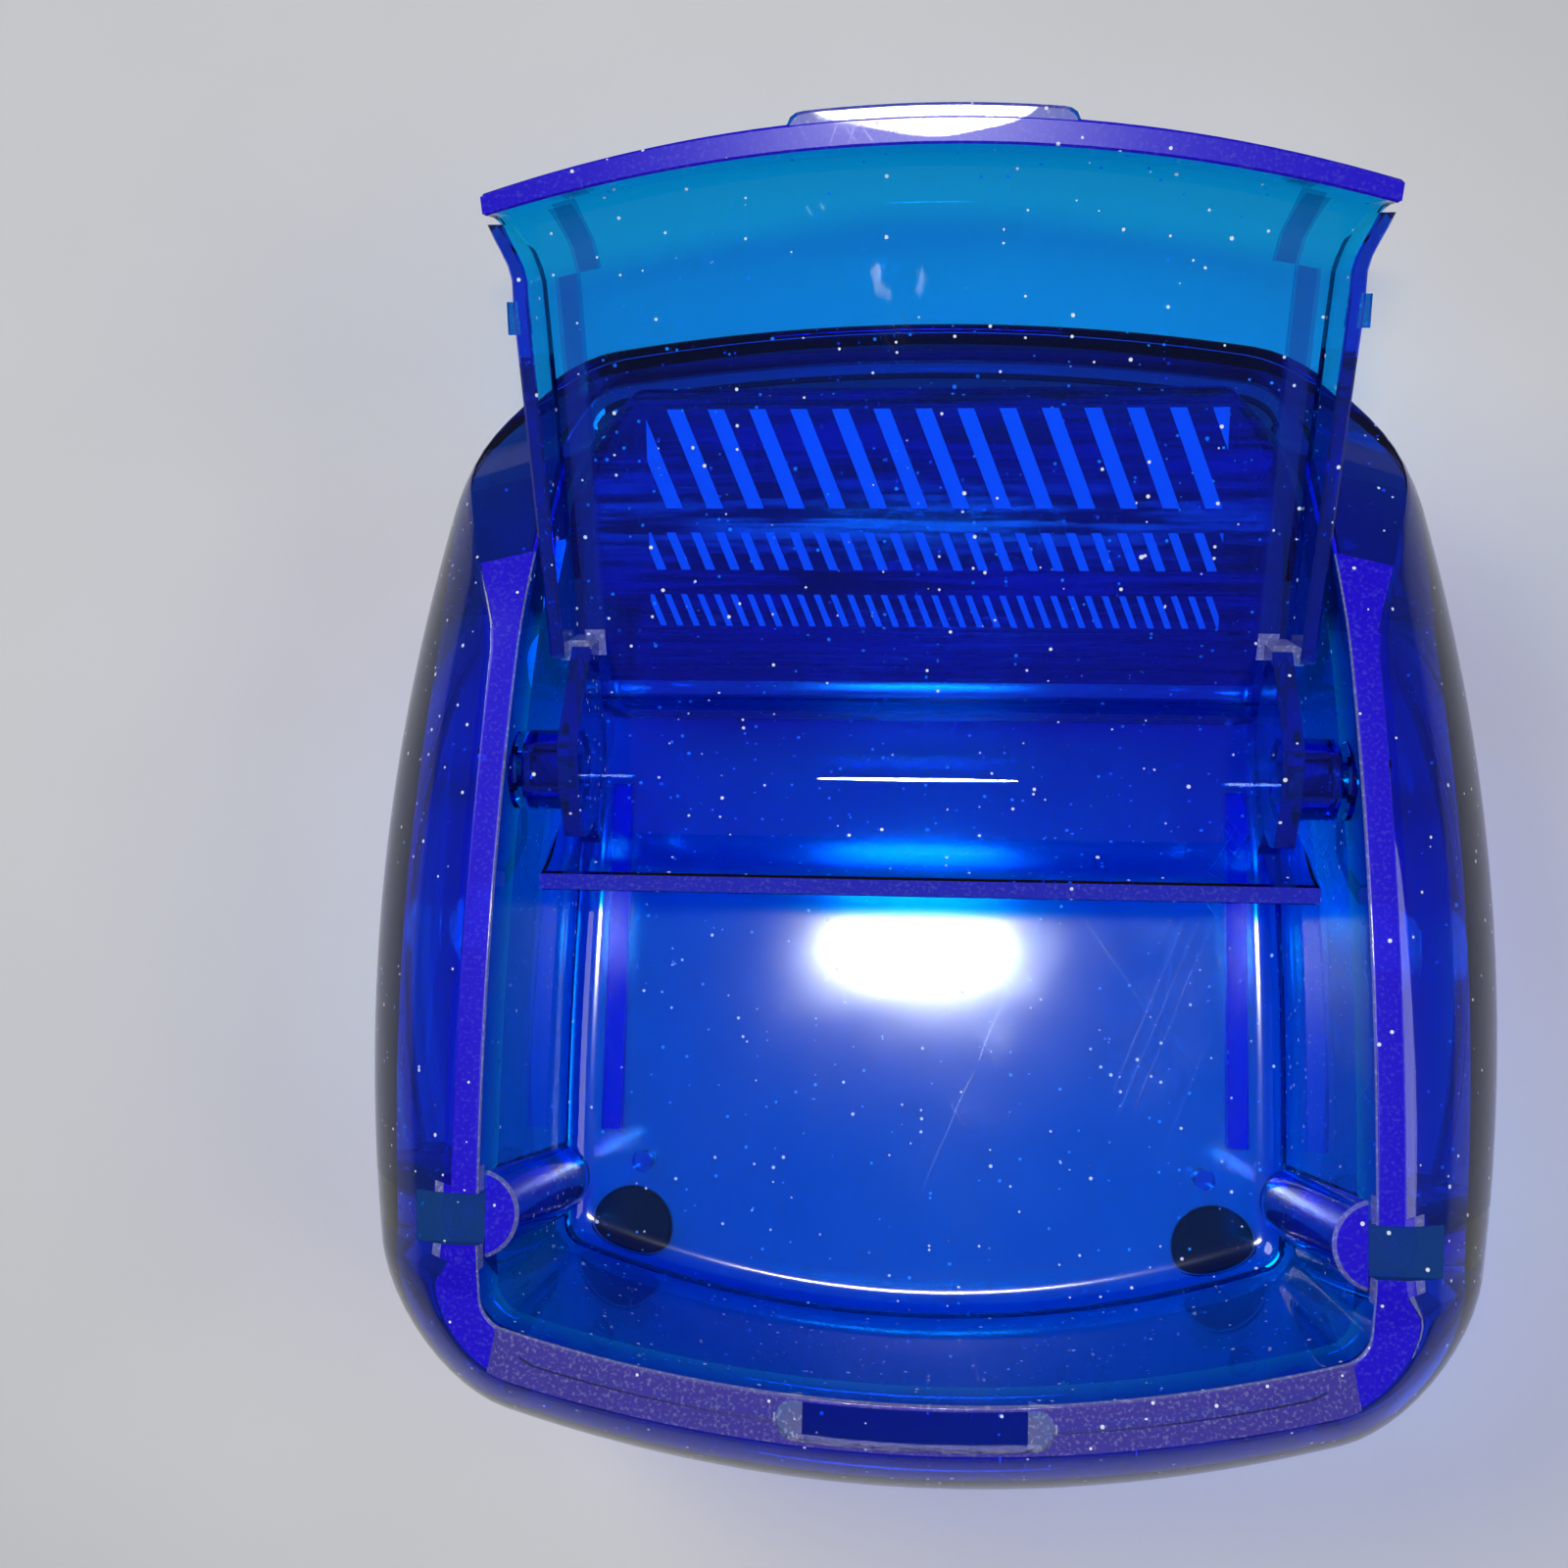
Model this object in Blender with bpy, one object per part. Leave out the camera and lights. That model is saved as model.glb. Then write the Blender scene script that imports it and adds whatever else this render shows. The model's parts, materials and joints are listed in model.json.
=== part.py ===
"""Flip-lid desk box in clear blue plastic, as it stands with its lid thrown right back.

World frame: metres, +Z up, the box stands on z = 0, its front faces -Y and +X is its right-hand side.
"""

import math

import bmesh
import bpy

MM = 0.001

# Heights of the box
FOOT_HEIGHT = 1.0 * MM  # how far the feet stand out below the base
BASE_PLATE = 2.4 * MM
SEAM_Z = 28.0 * MM  # widest line, where the two shells meet
SEAM_GAP = 0.3 * MM
RIM_Z = 50.0 * MM
FLOOR_Z = 8.0 * MM  # inside floor of the tray
FLOOR_THICKNESS = 2.4 * MM
SKIN = 2.4 * MM  # wall of the outer shells
REAR_DROP = 13.0 * MM  # the rear edge lies this far below the side rims
FRONT_DROP = 1.2 * MM  # and the front edge this far
FRONT_DROP_Y = -46.0 * MM
FRONT_DROP_RUN = 5.0 * MM
SIDE_SINK = 5.0 * MM  # the side rims sink under the open lid towards the rear
SIDE_SINK_Y = 17.5 * MM
SIDE_SINK_RUN = 25.0 * MM
FLOOR_FILLET = 3.0 * MM
TRAY_WALL = 2.2 * MM

# Hinge
PIVOT_Y = 5.5 * MM
PIVOT_Z = 44.0 * MM
LID_OPEN_ANGLE = math.radians(157.0)
PIN_RADIUS = 1.9 * MM
PIN_BORE_RADIUS = 2.0 * MM
BOSS_RADIUS = 4.4 * MM
WALL_BOSS_X = 44.3 * MM
PIN_INNER_X = 38.6 * MM
PIN_OUTER_X = 48.2 * MM

# Lid, measured from the pivot: forward and up with the lid shut
KNUCKLE_INSIDE = 12.0 * MM
KNUCKLE_OUTSIDE = 14.3 * MM
PANEL_START = 8.0 * MM
PANEL_END = 60.0 * MM
PANEL_START_HEIGHT = 11.9 * MM
PANEL_END_HEIGHT = 13.5 * MM
LID_THICKNESS = 2.3 * MM
LID_EDGE_HEIGHT = 5.2 * MM  # lower edge of the lid's skirt, just above the front edge
LID_REACH = 68.0 * MM  # pivot to the front edge at the middle
LID_SIDE_START = 41.4 * MM  # half-width of the side walls' lower edge, carried back to the pivot
LID_SIDE_SPREAD = 3.66 * MM  # and how much wider it is at the front edge
LID_DRAFT = 1.0 * MM  # the panel is this much narrower on each side than that lower edge
LID_NECK = 39.1 * MM
LID_TAIL = 43.3 * MM
LID_BOW = 7.0 * MM  # how far the front corners lie behind the middle
FLANGE_THICKNESS = 1.8 * MM
EAR_INSIDE_X = 37.4 * MM
EAR_OUTSIDE_X = 39.6 * MM
EAR_BOSS_X = 43.8 * MM

# Rear saddle
SADDLE_RADIUS = 20.0 * MM
SADDLE_Y = 38.5 * MM
SADDLE_Z = 22.5 * MM
SADDLE_HALF_WIDTH = 44.5 * MM  # before it narrows with the side walls
SADDLE_REAR_Y = 51.9 * MM
SADDLE_FOOT_REAR_Y = 32.0 * MM
SADDLE_WALL = 2.2 * MM
SADDLE_ROUNDING = 4.5 * MM

# Small features of the tray
POST_RADIUS = 4.7 * MM
POST_X = 46.9 * MM
POST_Y = -42.7 * MM
POST_TOP = 47.0 * MM
NOTCH_Y = -42.9 * MM
NOTCH_LENGTH = 5.3 * MM
NOTCH_DEPTH = 2.6 * MM
FRONT_BOW = 6.8 * MM  # of the front edge, over the half-width of the tray
FRONT_HALF_WIDTH = 46.0 * MM
GROOVE_HALF_LENGTH = 41.0 * MM
GROOVE_Y = -62.3 * MM
RECESS_Y = -62.4 * MM
RECESS_HALF_LENGTH = 14.3 * MM
RECESS_WIDTH = 4.0 * MM
RECESS_DEPTH = 1.6 * MM
STUD_X = 35.8 * MM
STUD_Y = -40.5 * MM
STUD_RADIUS = 1.3 * MM
STUD_GRIP = 1.0 * MM
RIB_X = 40.0 * MM
RIB_THICKNESS = 2.6 * MM
RIB_FRONT_Y = -36.5 * MM
RIB_REAR_Y = 8.5 * MM

# Feet
FOOT_RADIUS = 5.3 * MM
FOOT_SEAT_DEPTH = 0.8 * MM
FOOT_PLACES = {
    "foot_front_left": (-37.5 * MM, -49.3 * MM),
    "foot_front_right": (37.5 * MM, -49.3 * MM),
    "foot_rear_left": (-34.5 * MM, 36.5 * MM),
    "foot_rear_right": (34.5 * MM, 36.5 * MM),
}

EDGE_STEPS = 9
CORNER_STEPS = 5
SIDE_STEPS = 13
ROUND_STEPS = 24
SMOOTH_ANGLE = math.radians(32.0)


class Level:
    """The rounded plan outline of the box at one height: bowed ends and long arcs for sides."""

    names = (
        "half_width", "widest_y", "side_curve", "front_y", "rear_y",
        "front_bow", "rear_bow", "front_corner", "rear_corner",
    )

    def __init__(self, *values):
        self.values = dict(zip(self.names, values))

    def grown(self, amount):
        """The same outline moved outwards by amount, or inwards where it is negative."""
        v = dict(self.values)
        v["half_width"] += amount
        v["front_y"] -= amount
        v["rear_y"] += amount
        v["front_corner"] = max(v["front_corner"] + amount, 1.5 * MM)
        v["rear_corner"] = max(v["rear_corner"] + amount, 1.5 * MM)
        return Level(*[v[n] for n in self.names])

    def outline(self):
        """Points all the way round, counter-clockwise from above, from the middle of the front."""
        v = self.values
        width = v["half_width"]
        front = v["front_y"] + v["front_bow"]
        rear = v["rear_y"] - v["rear_bow"]
        near, far = v["front_corner"], v["rear_corner"]
        half = [((width - near) * i / EDGE_STEPS, front) for i in range(EDGE_STEPS)]
        for i in range(CORNER_STEPS + 1):
            turn = math.radians(90.0 * i / CORNER_STEPS - 90.0)
            half.append((width - near + near * math.cos(turn), front + near + near * math.sin(turn)))
        start, end = front + near, rear - far
        half += [(width, start + (end - start) * i / SIDE_STEPS) for i in range(1, SIDE_STEPS)]
        for i in range(CORNER_STEPS + 1):
            turn = math.radians(90.0 * i / CORNER_STEPS)
            half.append((width - far + far * math.cos(turn), rear - far + far * math.sin(turn)))
        half += [((width - far) * (1 - i / EDGE_STEPS), rear) for i in range(1, EDGE_STEPS + 1)]
        half = [self.bent(x, y, front, rear) for x, y in half]
        return half + [(-x, y) for x, y in reversed(half[1:-1])]

    def bent(self, x, y, front, rear):
        v = self.values
        across = 1 - (x / v["half_width"]) ** 2
        along = (2 * y - front - rear) / (rear - front)
        bow = -v["front_bow"] * max(0.0, -along) + v["rear_bow"] * max(0.0, along)
        narrowing = (y - v["widest_y"]) ** 2 / (2 * v["side_curve"] * v["half_width"])
        return x * (1 - narrowing), y + bow * across


RIM = Level(
    49.0 * MM, -27.4 * MM, 0.600, -63.4 * MM, 50.6 * MM, 7.0 * MM, 4.0 * MM, 6.5 * MM, 8.0 * MM
)
BULGE = Level(
    64.0 * MM, -15.4 * MM, 0.200, -72.09 * MM, 61.0 * MM, 11.0 * MM, 6.0 * MM, 15.0 * MM, 18.0 * MM
)
BASE = Level(
    50.0 * MM, -15.4 * MM, 0.250, -61.4 * MM, 48.6 * MM, 9.0 * MM, 5.0 * MM, 10.0 * MM, 12.0 * MM
)
TRAY_TOP = Level(
    46.0 * MM, -27.4 * MM, 0.600, -59.8 * MM, 47.6 * MM, 6.5 * MM, 3.5 * MM, 2.5 * MM, 4.0 * MM
)
TRAY_REAR_TOP = Level(
    46.0 * MM, -27.4 * MM, 0.600, -59.8 * MM, 55.0 * MM, 6.5 * MM, 3.5 * MM, 2.5 * MM, 5.0 * MM
)
TRAY_FLOOR = Level(
    45.0 * MM, -27.4 * MM, 0.600, -57.8 * MM, 46.0 * MM, 8.0 * MM, 3.5 * MM, 2.0 * MM, 9.0 * MM
)
REAR_CORNER_START = EDGE_STEPS + CORNER_STEPS + SIDE_STEPS
POINTS_ROUND = 2 * (REAR_CORNER_START + CORNER_STEPS + EDGE_STEPS)


def smooth_step(value):
    value = min(1.0, max(0.0, value))
    return value * value * (3 - 2 * value)


def arc_share(height_share, fullness):
    """1 at the widest line and 0 at the far end, following the arc of a bulging wall."""
    drop = 1 - math.sqrt(1 - (fullness * height_share) ** 2)
    return 1 - drop / (1 - math.sqrt(1 - fullness**2))


def blended(first, second, shares):
    """Points on the way from one outline to another, each by its own share."""
    pairs = zip(first, second, shares)
    return [(a[0] + (b[0] - a[0]) * t, a[1] + (b[1] - a[1]) * t) for a, b, t in pairs]


def rear_share(index):
    """0 along the sides and front, rising round each rear corner to 1 along the rear edge."""
    index = min(index, POINTS_ROUND - index)
    return smooth_step((index - REAR_CORNER_START + 1) / (CORNER_STEPS - 1))


def edge_heights(level):
    """The height of the shell's top edge at each point of an outline."""
    heights = []
    for i, (_, y) in enumerate(level.outline()):
        front = smooth_step((FRONT_DROP_Y - y) / FRONT_DROP_RUN)
        sink = SIDE_SINK * smooth_step((y - SIDE_SINK_Y) / SIDE_SINK_RUN)
        rear = rear_share(i)
        heights.append(RIM_Z - FRONT_DROP * front - sink * (1 - rear) - REAR_DROP * rear)
    return heights


def lifted(points, heights):
    return [(x, y, z) for (x, y), z in zip(points, heights)]


def lower_ring(z, grow=0.0):
    """The outside of the base bowl at height z."""
    share = arc_share((SEAM_Z - z) / (SEAM_Z - FOOT_HEIGHT), 0.84)
    points = blended(BASE.grown(grow).outline(), BULGE.grown(grow).outline(), [share] * POINTS_ROUND)
    return lifted(points, [z] * POINTS_ROUND)


def upper_ring(rise, grow=0.0):
    """The outside of the tray shell: rise runs from 0 at the seam to 1 at the top edge."""
    seam = SEAM_Z + SEAM_GAP
    heights = [seam + (top - seam) * rise for top in edge_heights(RIM)]
    shares = [arc_share((z - SEAM_Z) / (RIM_Z - SEAM_Z), 0.92) for z in heights]
    points = blended(RIM.grown(grow).outline(), BULGE.grown(grow).outline(), shares)
    return lifted(points, heights)


def tray_ring(rise, grow=0.0, drop=0.0):
    """The inside of the tray: rise runs from 0 at the floor to 1 at the top edge."""
    rear = [rear_share(i) for i in range(POINTS_ROUND)]
    top = blended(TRAY_TOP.grown(grow).outline(), TRAY_REAR_TOP.grown(grow).outline(), rear)
    points = blended(TRAY_FLOOR.grown(grow).outline(), top, [rise] * POINTS_ROUND)
    heights = [FLOOR_Z + (z - FLOOR_Z) * rise - drop for z in edge_heights(TRAY_TOP)]
    return lifted(points, heights)


def new_object(name, mesh, material):
    obj = bpy.data.objects.new(name, mesh)
    bpy.context.scene.collection.objects.link(obj)
    if material:
        mesh.materials.append(material)
    return obj


def finish_mesh(bm, name):
    bmesh.ops.recalc_face_normals(bm, faces=bm.faces)
    mesh = bpy.data.meshes.new(name)
    bm.to_mesh(mesh)
    bm.free()
    mesh.shade_smooth()
    mesh.set_sharp_from_angle(angle=SMOOTH_ANGLE)
    return mesh


def lofted(name, rings, material=None):
    """A closed solid through rings that all have the same number of points."""
    bm = bmesh.new()
    rows = [[bm.verts.new(p) for p in points] for points in rings]
    for below, above in zip(rows, rows[1:]):
        for i in range(len(below)):
            j = (i + 1) % len(below)
            bm.faces.new((below[i], below[j], above[j], above[i]))
    bm.faces.new(rows[0])
    bm.faces.new(rows[-1])
    return new_object(name, finish_mesh(bm, name), material)


def box(name, low, high, material=None):
    corners = [(low[0], low[1]), (high[0], low[1]), (high[0], high[1]), (low[0], high[1])]
    return lofted(name, [[(x, y, z) for x, y in corners] for z in (low[2], high[2])], material)


def upright_round(name, x, y, radius, bottom, top, material=None, steps=ROUND_STEPS, bevel=0.0):
    """An upright cylinder, with a small chamfer at its foot where bevel is given."""
    def circle(r, z):
        turns = [2 * math.pi * i / steps for i in range(steps)]
        return [(x + r * math.cos(t), y + r * math.sin(t), z) for t in turns]
    rings = [circle(radius, bottom), circle(radius, top)]
    if bevel:
        rings = [circle(radius - bevel, bottom), circle(radius, bottom + bevel), circle(radius, top)]
    return lofted(name, rings, material)


def level_round(name, x_from, x_to, y, z, radius, material=None, steps=ROUND_STEPS):
    """A cylinder lying along X."""
    turns = [2 * math.pi * i / steps for i in range(steps)]
    circle = [(y + radius * math.cos(t), z + radius * math.sin(t)) for t in turns]
    return lofted(name, [[(x, cy, cz) for cy, cz in circle] for x in (x_from, x_to)], material)


def side_plate(name, x_from, x_to, outline, material=None):
    """A plate standing along the Y-Z plane, from an outline of (y, z) points."""
    return lofted(name, [[(x, y, z) for y, z in outline] for x in (x_from, x_to)], material)


def bowed_bar(name, half_length, y, bow, width, bottom, top, steps=20):
    """A bar along X that follows the bow of the front wall, with rounded ends in plan."""
    def line(side):
        points = []
        for i in range(steps + 1):
            x = half_length * (2 * i / steps - 1)
            end = min(half_length - abs(x), width / 2)
            reach = math.sqrt(max(0.0, (width / 2) ** 2 - (width / 2 - end) ** 2))
            points.append((x, y + bow * (x / FRONT_HALF_WIDTH) ** 2 + side * max(reach, 0.15 * MM)))
        return points
    outline = line(-1) + line(1)[::-1]
    return lofted(name, [[(px, py, z) for px, py in outline] for z in (bottom, top)])


def apply_tool(target, tool, operation, name=None):
    """Cuts target with tool or joins tool to it; the tool stays as a hidden helper."""
    modifier = target.modifiers.new(name or tool.name, "BOOLEAN")
    modifier.operation = operation
    modifier.solver = "EXACT"
    modifier.object = tool
    tool.hide_render = True
    tool.display_type = "WIRE"


def cut(target, tool):
    apply_tool(target, tool, "DIFFERENCE")


def join(target, tool):
    apply_tool(target, tool, "UNION")


def make_material(name, colour, roughness, metallic=0.0, transmission=0.0):
    material = bpy.data.materials.new(name)
    material.use_nodes = True
    shader = material.node_tree.nodes["Principled BSDF"]
    shader.inputs["Base Color"].default_value = (*colour, 1.0)
    shader.inputs["Roughness"].default_value = roughness
    shader.inputs["Metallic"].default_value = metallic
    shader.inputs["Transmission Weight"].default_value = transmission
    material.diffuse_color = (*colour, 1.0)
    return material


def build_base_bowl(material):
    """The lower outer shell: base plate and the wall that tucks in below the widest line."""
    bottom, top = FOOT_HEIGHT, SEAM_Z
    plate_top = bottom + BASE_PLATE
    heights = [bottom + (top - bottom) * (i / 7) ** 0.9 for i in range(8)]
    rings = [lower_ring(z) for z in heights]
    inner = [z for z in heights[::-1] if z > plate_top + 0.5 * MM] + [plate_top]
    rings += [lower_ring(z, -SKIN) for z in inner]
    bowl = lofted("base_bowl", rings, material)
    for name, (x, y) in FOOT_PLACES.items():
        seat = upright_round(f"{name}_seat", x, y, FOOT_RADIUS + 0.3 * MM, -MM, bottom + FOOT_SEAT_DEPTH)
        cut(bowl, seat)
    for side in (-1, 1):
        socket = upright_round(
            f"stud_socket_{side}", side * STUD_X, STUD_Y, STUD_RADIUS + 0.3 * MM,
            plate_top - STUD_GRIP - 0.3 * MM, plate_top + MM, steps=20,
        )
        cut(bowl, socket)
    return bowl


def build_tray_shell(material):
    """The upper shell: tray, side walls, rim and the upper half of the bulging outside."""
    rings = []
    for i in range(4):
        turn = math.radians(30.0 * i)
        rise = FLOOR_FILLET * (1 - math.cos(turn))
        points = tray_ring(rise / (RIM_Z - FLOOR_Z), -FLOOR_FILLET * (1 - math.sin(turn)))
        rings.append([(x, y, FLOOR_Z + rise) for x, y, _ in points])
    rings += [tray_ring(0.5), tray_ring(1.0)]
    rises = [1 - (i / 7) ** 1.3 for i in range(8)]
    rings += [upper_ring(rise) for rise in rises]
    rings += [upper_ring(rise, -SKIN) for rise in rises[::-1] if rise < 0.86]
    rings += [tray_ring(1.0, TRAY_WALL, 3.4 * MM), tray_ring(0.5, TRAY_WALL)]
    underside = FLOOR_Z - FLOOR_THICKNESS
    rings.append([(x, y, underside) for x, y, _ in tray_ring(0.0, TRAY_WALL - 0.6 * MM)])
    shell = lofted("tray_shell", rings, material)
    add_posts_and_bosses(shell)
    add_rim_details(shell)
    add_underside(shell, underside)
    return shell


def add_posts_and_bosses(shell):
    for side in (-1, 1):
        post = upright_round(f"post_{side}", side * POST_X, POST_Y, POST_RADIUS, FLOOR_Z - MM, POST_TOP)
        join(shell, post)
        x_from, x_to = sorted((side * WALL_BOSS_X, side * 46.5 * MM))
        boss = level_round(f"wall_boss_{side}", x_from, x_to, PIVOT_Y, PIVOT_Z, BOSS_RADIUS)
        join(shell, boss)
    for side in (-1, 1):
        x_from, x_to = sorted((side * 42.0 * MM, side * (PIN_OUTER_X + 0.2 * MM)))
        bore = level_round(f"pin_bore_{side}", x_from, x_to, PIVOT_Y, PIVOT_Z, PIN_BORE_RADIUS)
        cut(shell, bore)


def add_rim_details(shell):
    for side in (-1, 1):
        low, high = sorted((side * 41.0 * MM, side * 60.0 * MM))
        notch = box(
            f"detent_notch_{side}",
            (low, NOTCH_Y - NOTCH_LENGTH / 2, RIM_Z - NOTCH_DEPTH),
            (high, NOTCH_Y + NOTCH_LENGTH / 2, RIM_Z + MM),
        )
        cut(shell, notch)
    ledge_z = RIM_Z - FRONT_DROP
    groove = bowed_bar(
        "front_groove", GROOVE_HALF_LENGTH, GROOVE_Y, FRONT_BOW, 1.0 * MM, ledge_z - 0.8 * MM, RIM_Z + MM
    )
    cut(shell, groove)
    recess = bowed_bar(
        "finger_recess", RECESS_HALF_LENGTH, RECESS_Y, FRONT_BOW, RECESS_WIDTH,
        ledge_z - RECESS_DEPTH, RIM_Z + MM, steps=28,
    )
    cut(shell, recess)


def add_underside(shell, underside):
    """Ribs and joining studs below the floor."""
    plate_top = FOOT_HEIGHT + BASE_PLATE
    for side in (-1, 1):
        x = side * RIB_X
        rib = box(
            f"floor_rib_{side}",
            (x - RIB_THICKNESS / 2, RIB_FRONT_Y, plate_top + SEAM_GAP),
            (x + RIB_THICKNESS / 2, RIB_REAR_Y, underside + MM),
        )
        join(shell, rib)
        stud = upright_round(
            f"joining_stud_{side}", side * STUD_X, STUD_Y, STUD_RADIUS,
            plate_top - STUD_GRIP, underside + MM, steps=20,
        )
        join(shell, stud)


def saddle_half_width(y, z):
    """The saddle narrows towards the rear with the walls beside it, and at its foot with the fillet."""
    walls = (y - TRAY_TOP.values["widest_y"]) ** 2 / (2 * TRAY_TOP.values["side_curve"])
    corner = 4.0 * MM * (max(0.0, y - 34.0 * MM) / (18.0 * MM)) ** 2
    foot = FLOOR_FILLET if z < FLOOR_Z + 0.5 * FLOOR_FILLET else 0.0
    return SADDLE_HALF_WIDTH - walls - corner - foot


def saddle_profile(inset):
    """Side view of the saddle as (y, z) points, from the foot of its front wall over to the rear."""
    radius = SADDLE_RADIUS - inset
    foot = FLOOR_Z + 0.3 * MM - 1.5 * inset
    rear_y = SADDLE_REAR_Y - 1.3 * inset
    last = math.acos((rear_y - SADDLE_Y) / radius)
    points = [(SADDLE_Y - radius, foot), (SADDLE_Y - radius, FLOOR_Z + FLOOR_FILLET)]
    for i in range(25):
        turn = math.pi + (last - math.pi) * i / 24
        points.append((SADDLE_Y + radius * math.cos(turn), SADDLE_Z + radius * math.sin(turn)))
    rear_z = points[-1][1]
    points.append((rear_y - 0.6 * MM, rear_z - 2.2 * MM))
    points.append((SADDLE_FOOT_REAR_Y - inset + 1.6 * MM, FLOOR_Z + FLOOR_FILLET))
    points.append((SADDLE_FOOT_REAR_Y - inset, foot))
    return points


def build_saddle(material):
    """The hollow, open-bottomed hump that closes the rear of the tray between the side walls."""
    def solid(name, inset, material=None):
        outline = saddle_profile(inset)
        rows = [[(side * (saddle_half_width(y, z) - inset), y, z) for y, z in outline] for side in (-1, 1)]
        return lofted(name, rows, material)

    saddle = solid("rear_saddle", 0.0, material)
    bevel = saddle.modifiers.new("rounded_ends", "BEVEL")
    bevel.width = SADDLE_ROUNDING
    bevel.segments = 3
    bevel.limit_method = "WEIGHT"
    weights = saddle.data.attributes.new("bevel_weight_edge", "FLOAT", "EDGE")
    count = len(saddle.data.vertices) // 2
    for edge in saddle.data.edges:
        a, b = edge.vertices
        same_end = (a < count) == (b < count)
        arched = 1 <= min(a % count, b % count) and max(a % count, b % count) <= 26
        weights.data[edge.index].value = 1.0 if same_end and arched else 0.0
    cut(saddle, solid("saddle_hollow", SADDLE_WALL))
    return saddle


def lid_half_width(forward, up):
    """Half the lid's width: a wide tail, a neck beside the ears, then drafted side walls."""
    if forward < PANEL_START:
        return LID_TAIL - (LID_TAIL - LID_NECK) * smooth_step(1 + forward / KNUCKLE_INSIDE)
    draft = (up - LID_EDGE_HEIGHT) / (PANEL_START_HEIGHT - LID_EDGE_HEIGHT)
    flare = 2.2 * MM * smooth_step((forward - 57.0 * MM) / (9.0 * MM))
    side = LID_SIDE_START + LID_SIDE_SPREAD * forward / LID_REACH + flare
    side -= LID_DRAFT * min(1.0, max(0.0, draft))
    return LID_NECK + (side - LID_NECK) * smooth_step((forward - PANEL_START) / (3.0 * MM))


def lid_point(across, forward, up, inset=0.0):
    """A point of the lid: across runs from -1 to 1, and the bow grows with the distance forward."""
    half = lid_half_width(forward, up) - inset
    share = max(0.0, forward) / LID_REACH
    return across * half, -(forward - LID_BOW * (share * across) ** 2), up


def lid_profile():
    """The lid's section at the middle, as pairs of outside and inside points (forward, up)."""
    pairs = []
    bend = math.degrees(math.acos(PANEL_START / KNUCKLE_OUTSIDE))
    for i in range(13):
        turn = math.radians(180.0 + (bend - 180.0) * i / 12)
        outer = (KNUCKLE_OUTSIDE * math.cos(turn), KNUCKLE_OUTSIDE * math.sin(turn))
        inner = (KNUCKLE_INSIDE * math.cos(turn), KNUCKLE_INSIDE * math.sin(turn))
        pairs.append((outer, inner))
    stations = [1.0 * MM, 2.0 * MM, 3.2 * MM]
    stations += [3.2 * MM + (PANEL_END - PANEL_START - 3.2 * MM) * i / 8 for i in range(1, 9)]
    for station in stations:
        forward = PANEL_START + station
        share = station / (PANEL_END - PANEL_START)
        up = PANEL_START_HEIGHT + (PANEL_END_HEIGHT - PANEL_START_HEIGHT) * share
        pairs.append(((forward, up), (forward, up - LID_THICKNESS)))
    thickening = 0.5 * MM
    height = PANEL_END_HEIGHT - LID_EDGE_HEIGHT
    reach = LID_REACH - PANEL_END
    for i in range(1, 9):
        turn = math.radians(11.25 * i)
        outer = (
            PANEL_END + reach * math.sin(turn), LID_EDGE_HEIGHT + height * math.cos(turn) ** 0.8,
        )
        wall = LID_THICKNESS + thickening * i / 8
        inner = (
            PANEL_END + (reach - wall) * math.sin(turn),
            LID_EDGE_HEIGHT + (height - LID_THICKNESS) * math.cos(turn) ** 0.8,
        )
        pairs.append((outer, inner))
    return pairs


def lid_sheet(name, material):
    """The curved sheet of the lid: knuckle, panel and front skirt, as one closed solid."""
    steps = 16
    across = [2 * i / steps - 1 for i in range(steps + 1)]
    rings = []
    for outer, inner in lid_profile():
        top = [lid_point(a, *outer) for a in across]
        bottom = [lid_point(a, *inner) for a in reversed(across)]
        rings.append(top + bottom)
    return lofted(name, rings, material)


def lid_flange(name, side):
    """A side wall of the lid, from the ear forward to the skirt."""
    rings = []
    steps = 12
    for i in range(steps + 1):
        forward = 11.9 * MM + (64.2 - 11.9) * MM * i / steps
        share = (forward - PANEL_START) / (PANEL_END - PANEL_START)
        roof = PANEL_START_HEIGHT + (PANEL_END_HEIGHT - PANEL_START_HEIGHT) * min(share, 1.0)
        drop = 4.0 * MM * smooth_step((forward - 59.0 * MM) / (6.0 * MM))
        high, low = roof - 1.0 * MM - drop, LID_EDGE_HEIGHT - 0.8 * MM + 0.8 * MM * smooth_step(
            (forward - 52.0 * MM) / (6.0 * MM)
        )
        outer, inner = 0.12 * MM, FLANGE_THICKNESS
        rings.append([
            lid_point(side, forward, low, outer), lid_point(side, forward, high, outer),
            lid_point(side, forward, high, inner), lid_point(side, forward, low, inner),
        ])
    return lofted(name, rings)


def ear_outline():
    """Side view of an ear: it fills the knuckle around the pivot and reaches forward to the web."""
    radius = KNUCKLE_INSIDE + 0.8 * MM
    points = []
    for i in range(13):
        turn = math.radians(65.0 + (200.0 - 65.0) * i / 12)
        reach = radius if turn < math.radians(150) else BOSS_RADIUS + 3.0 * MM
        points.append((-reach * math.cos(turn), reach * math.sin(turn)))
    points.append((2.0 * MM, -BOSS_RADIUS))
    points.append((-4.0 * MM, -BOSS_RADIUS))
    points.append((-12.8 * MM, 5.5 * MM))
    points.append((-12.8 * MM, 10.2 * MM))
    return points


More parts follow.
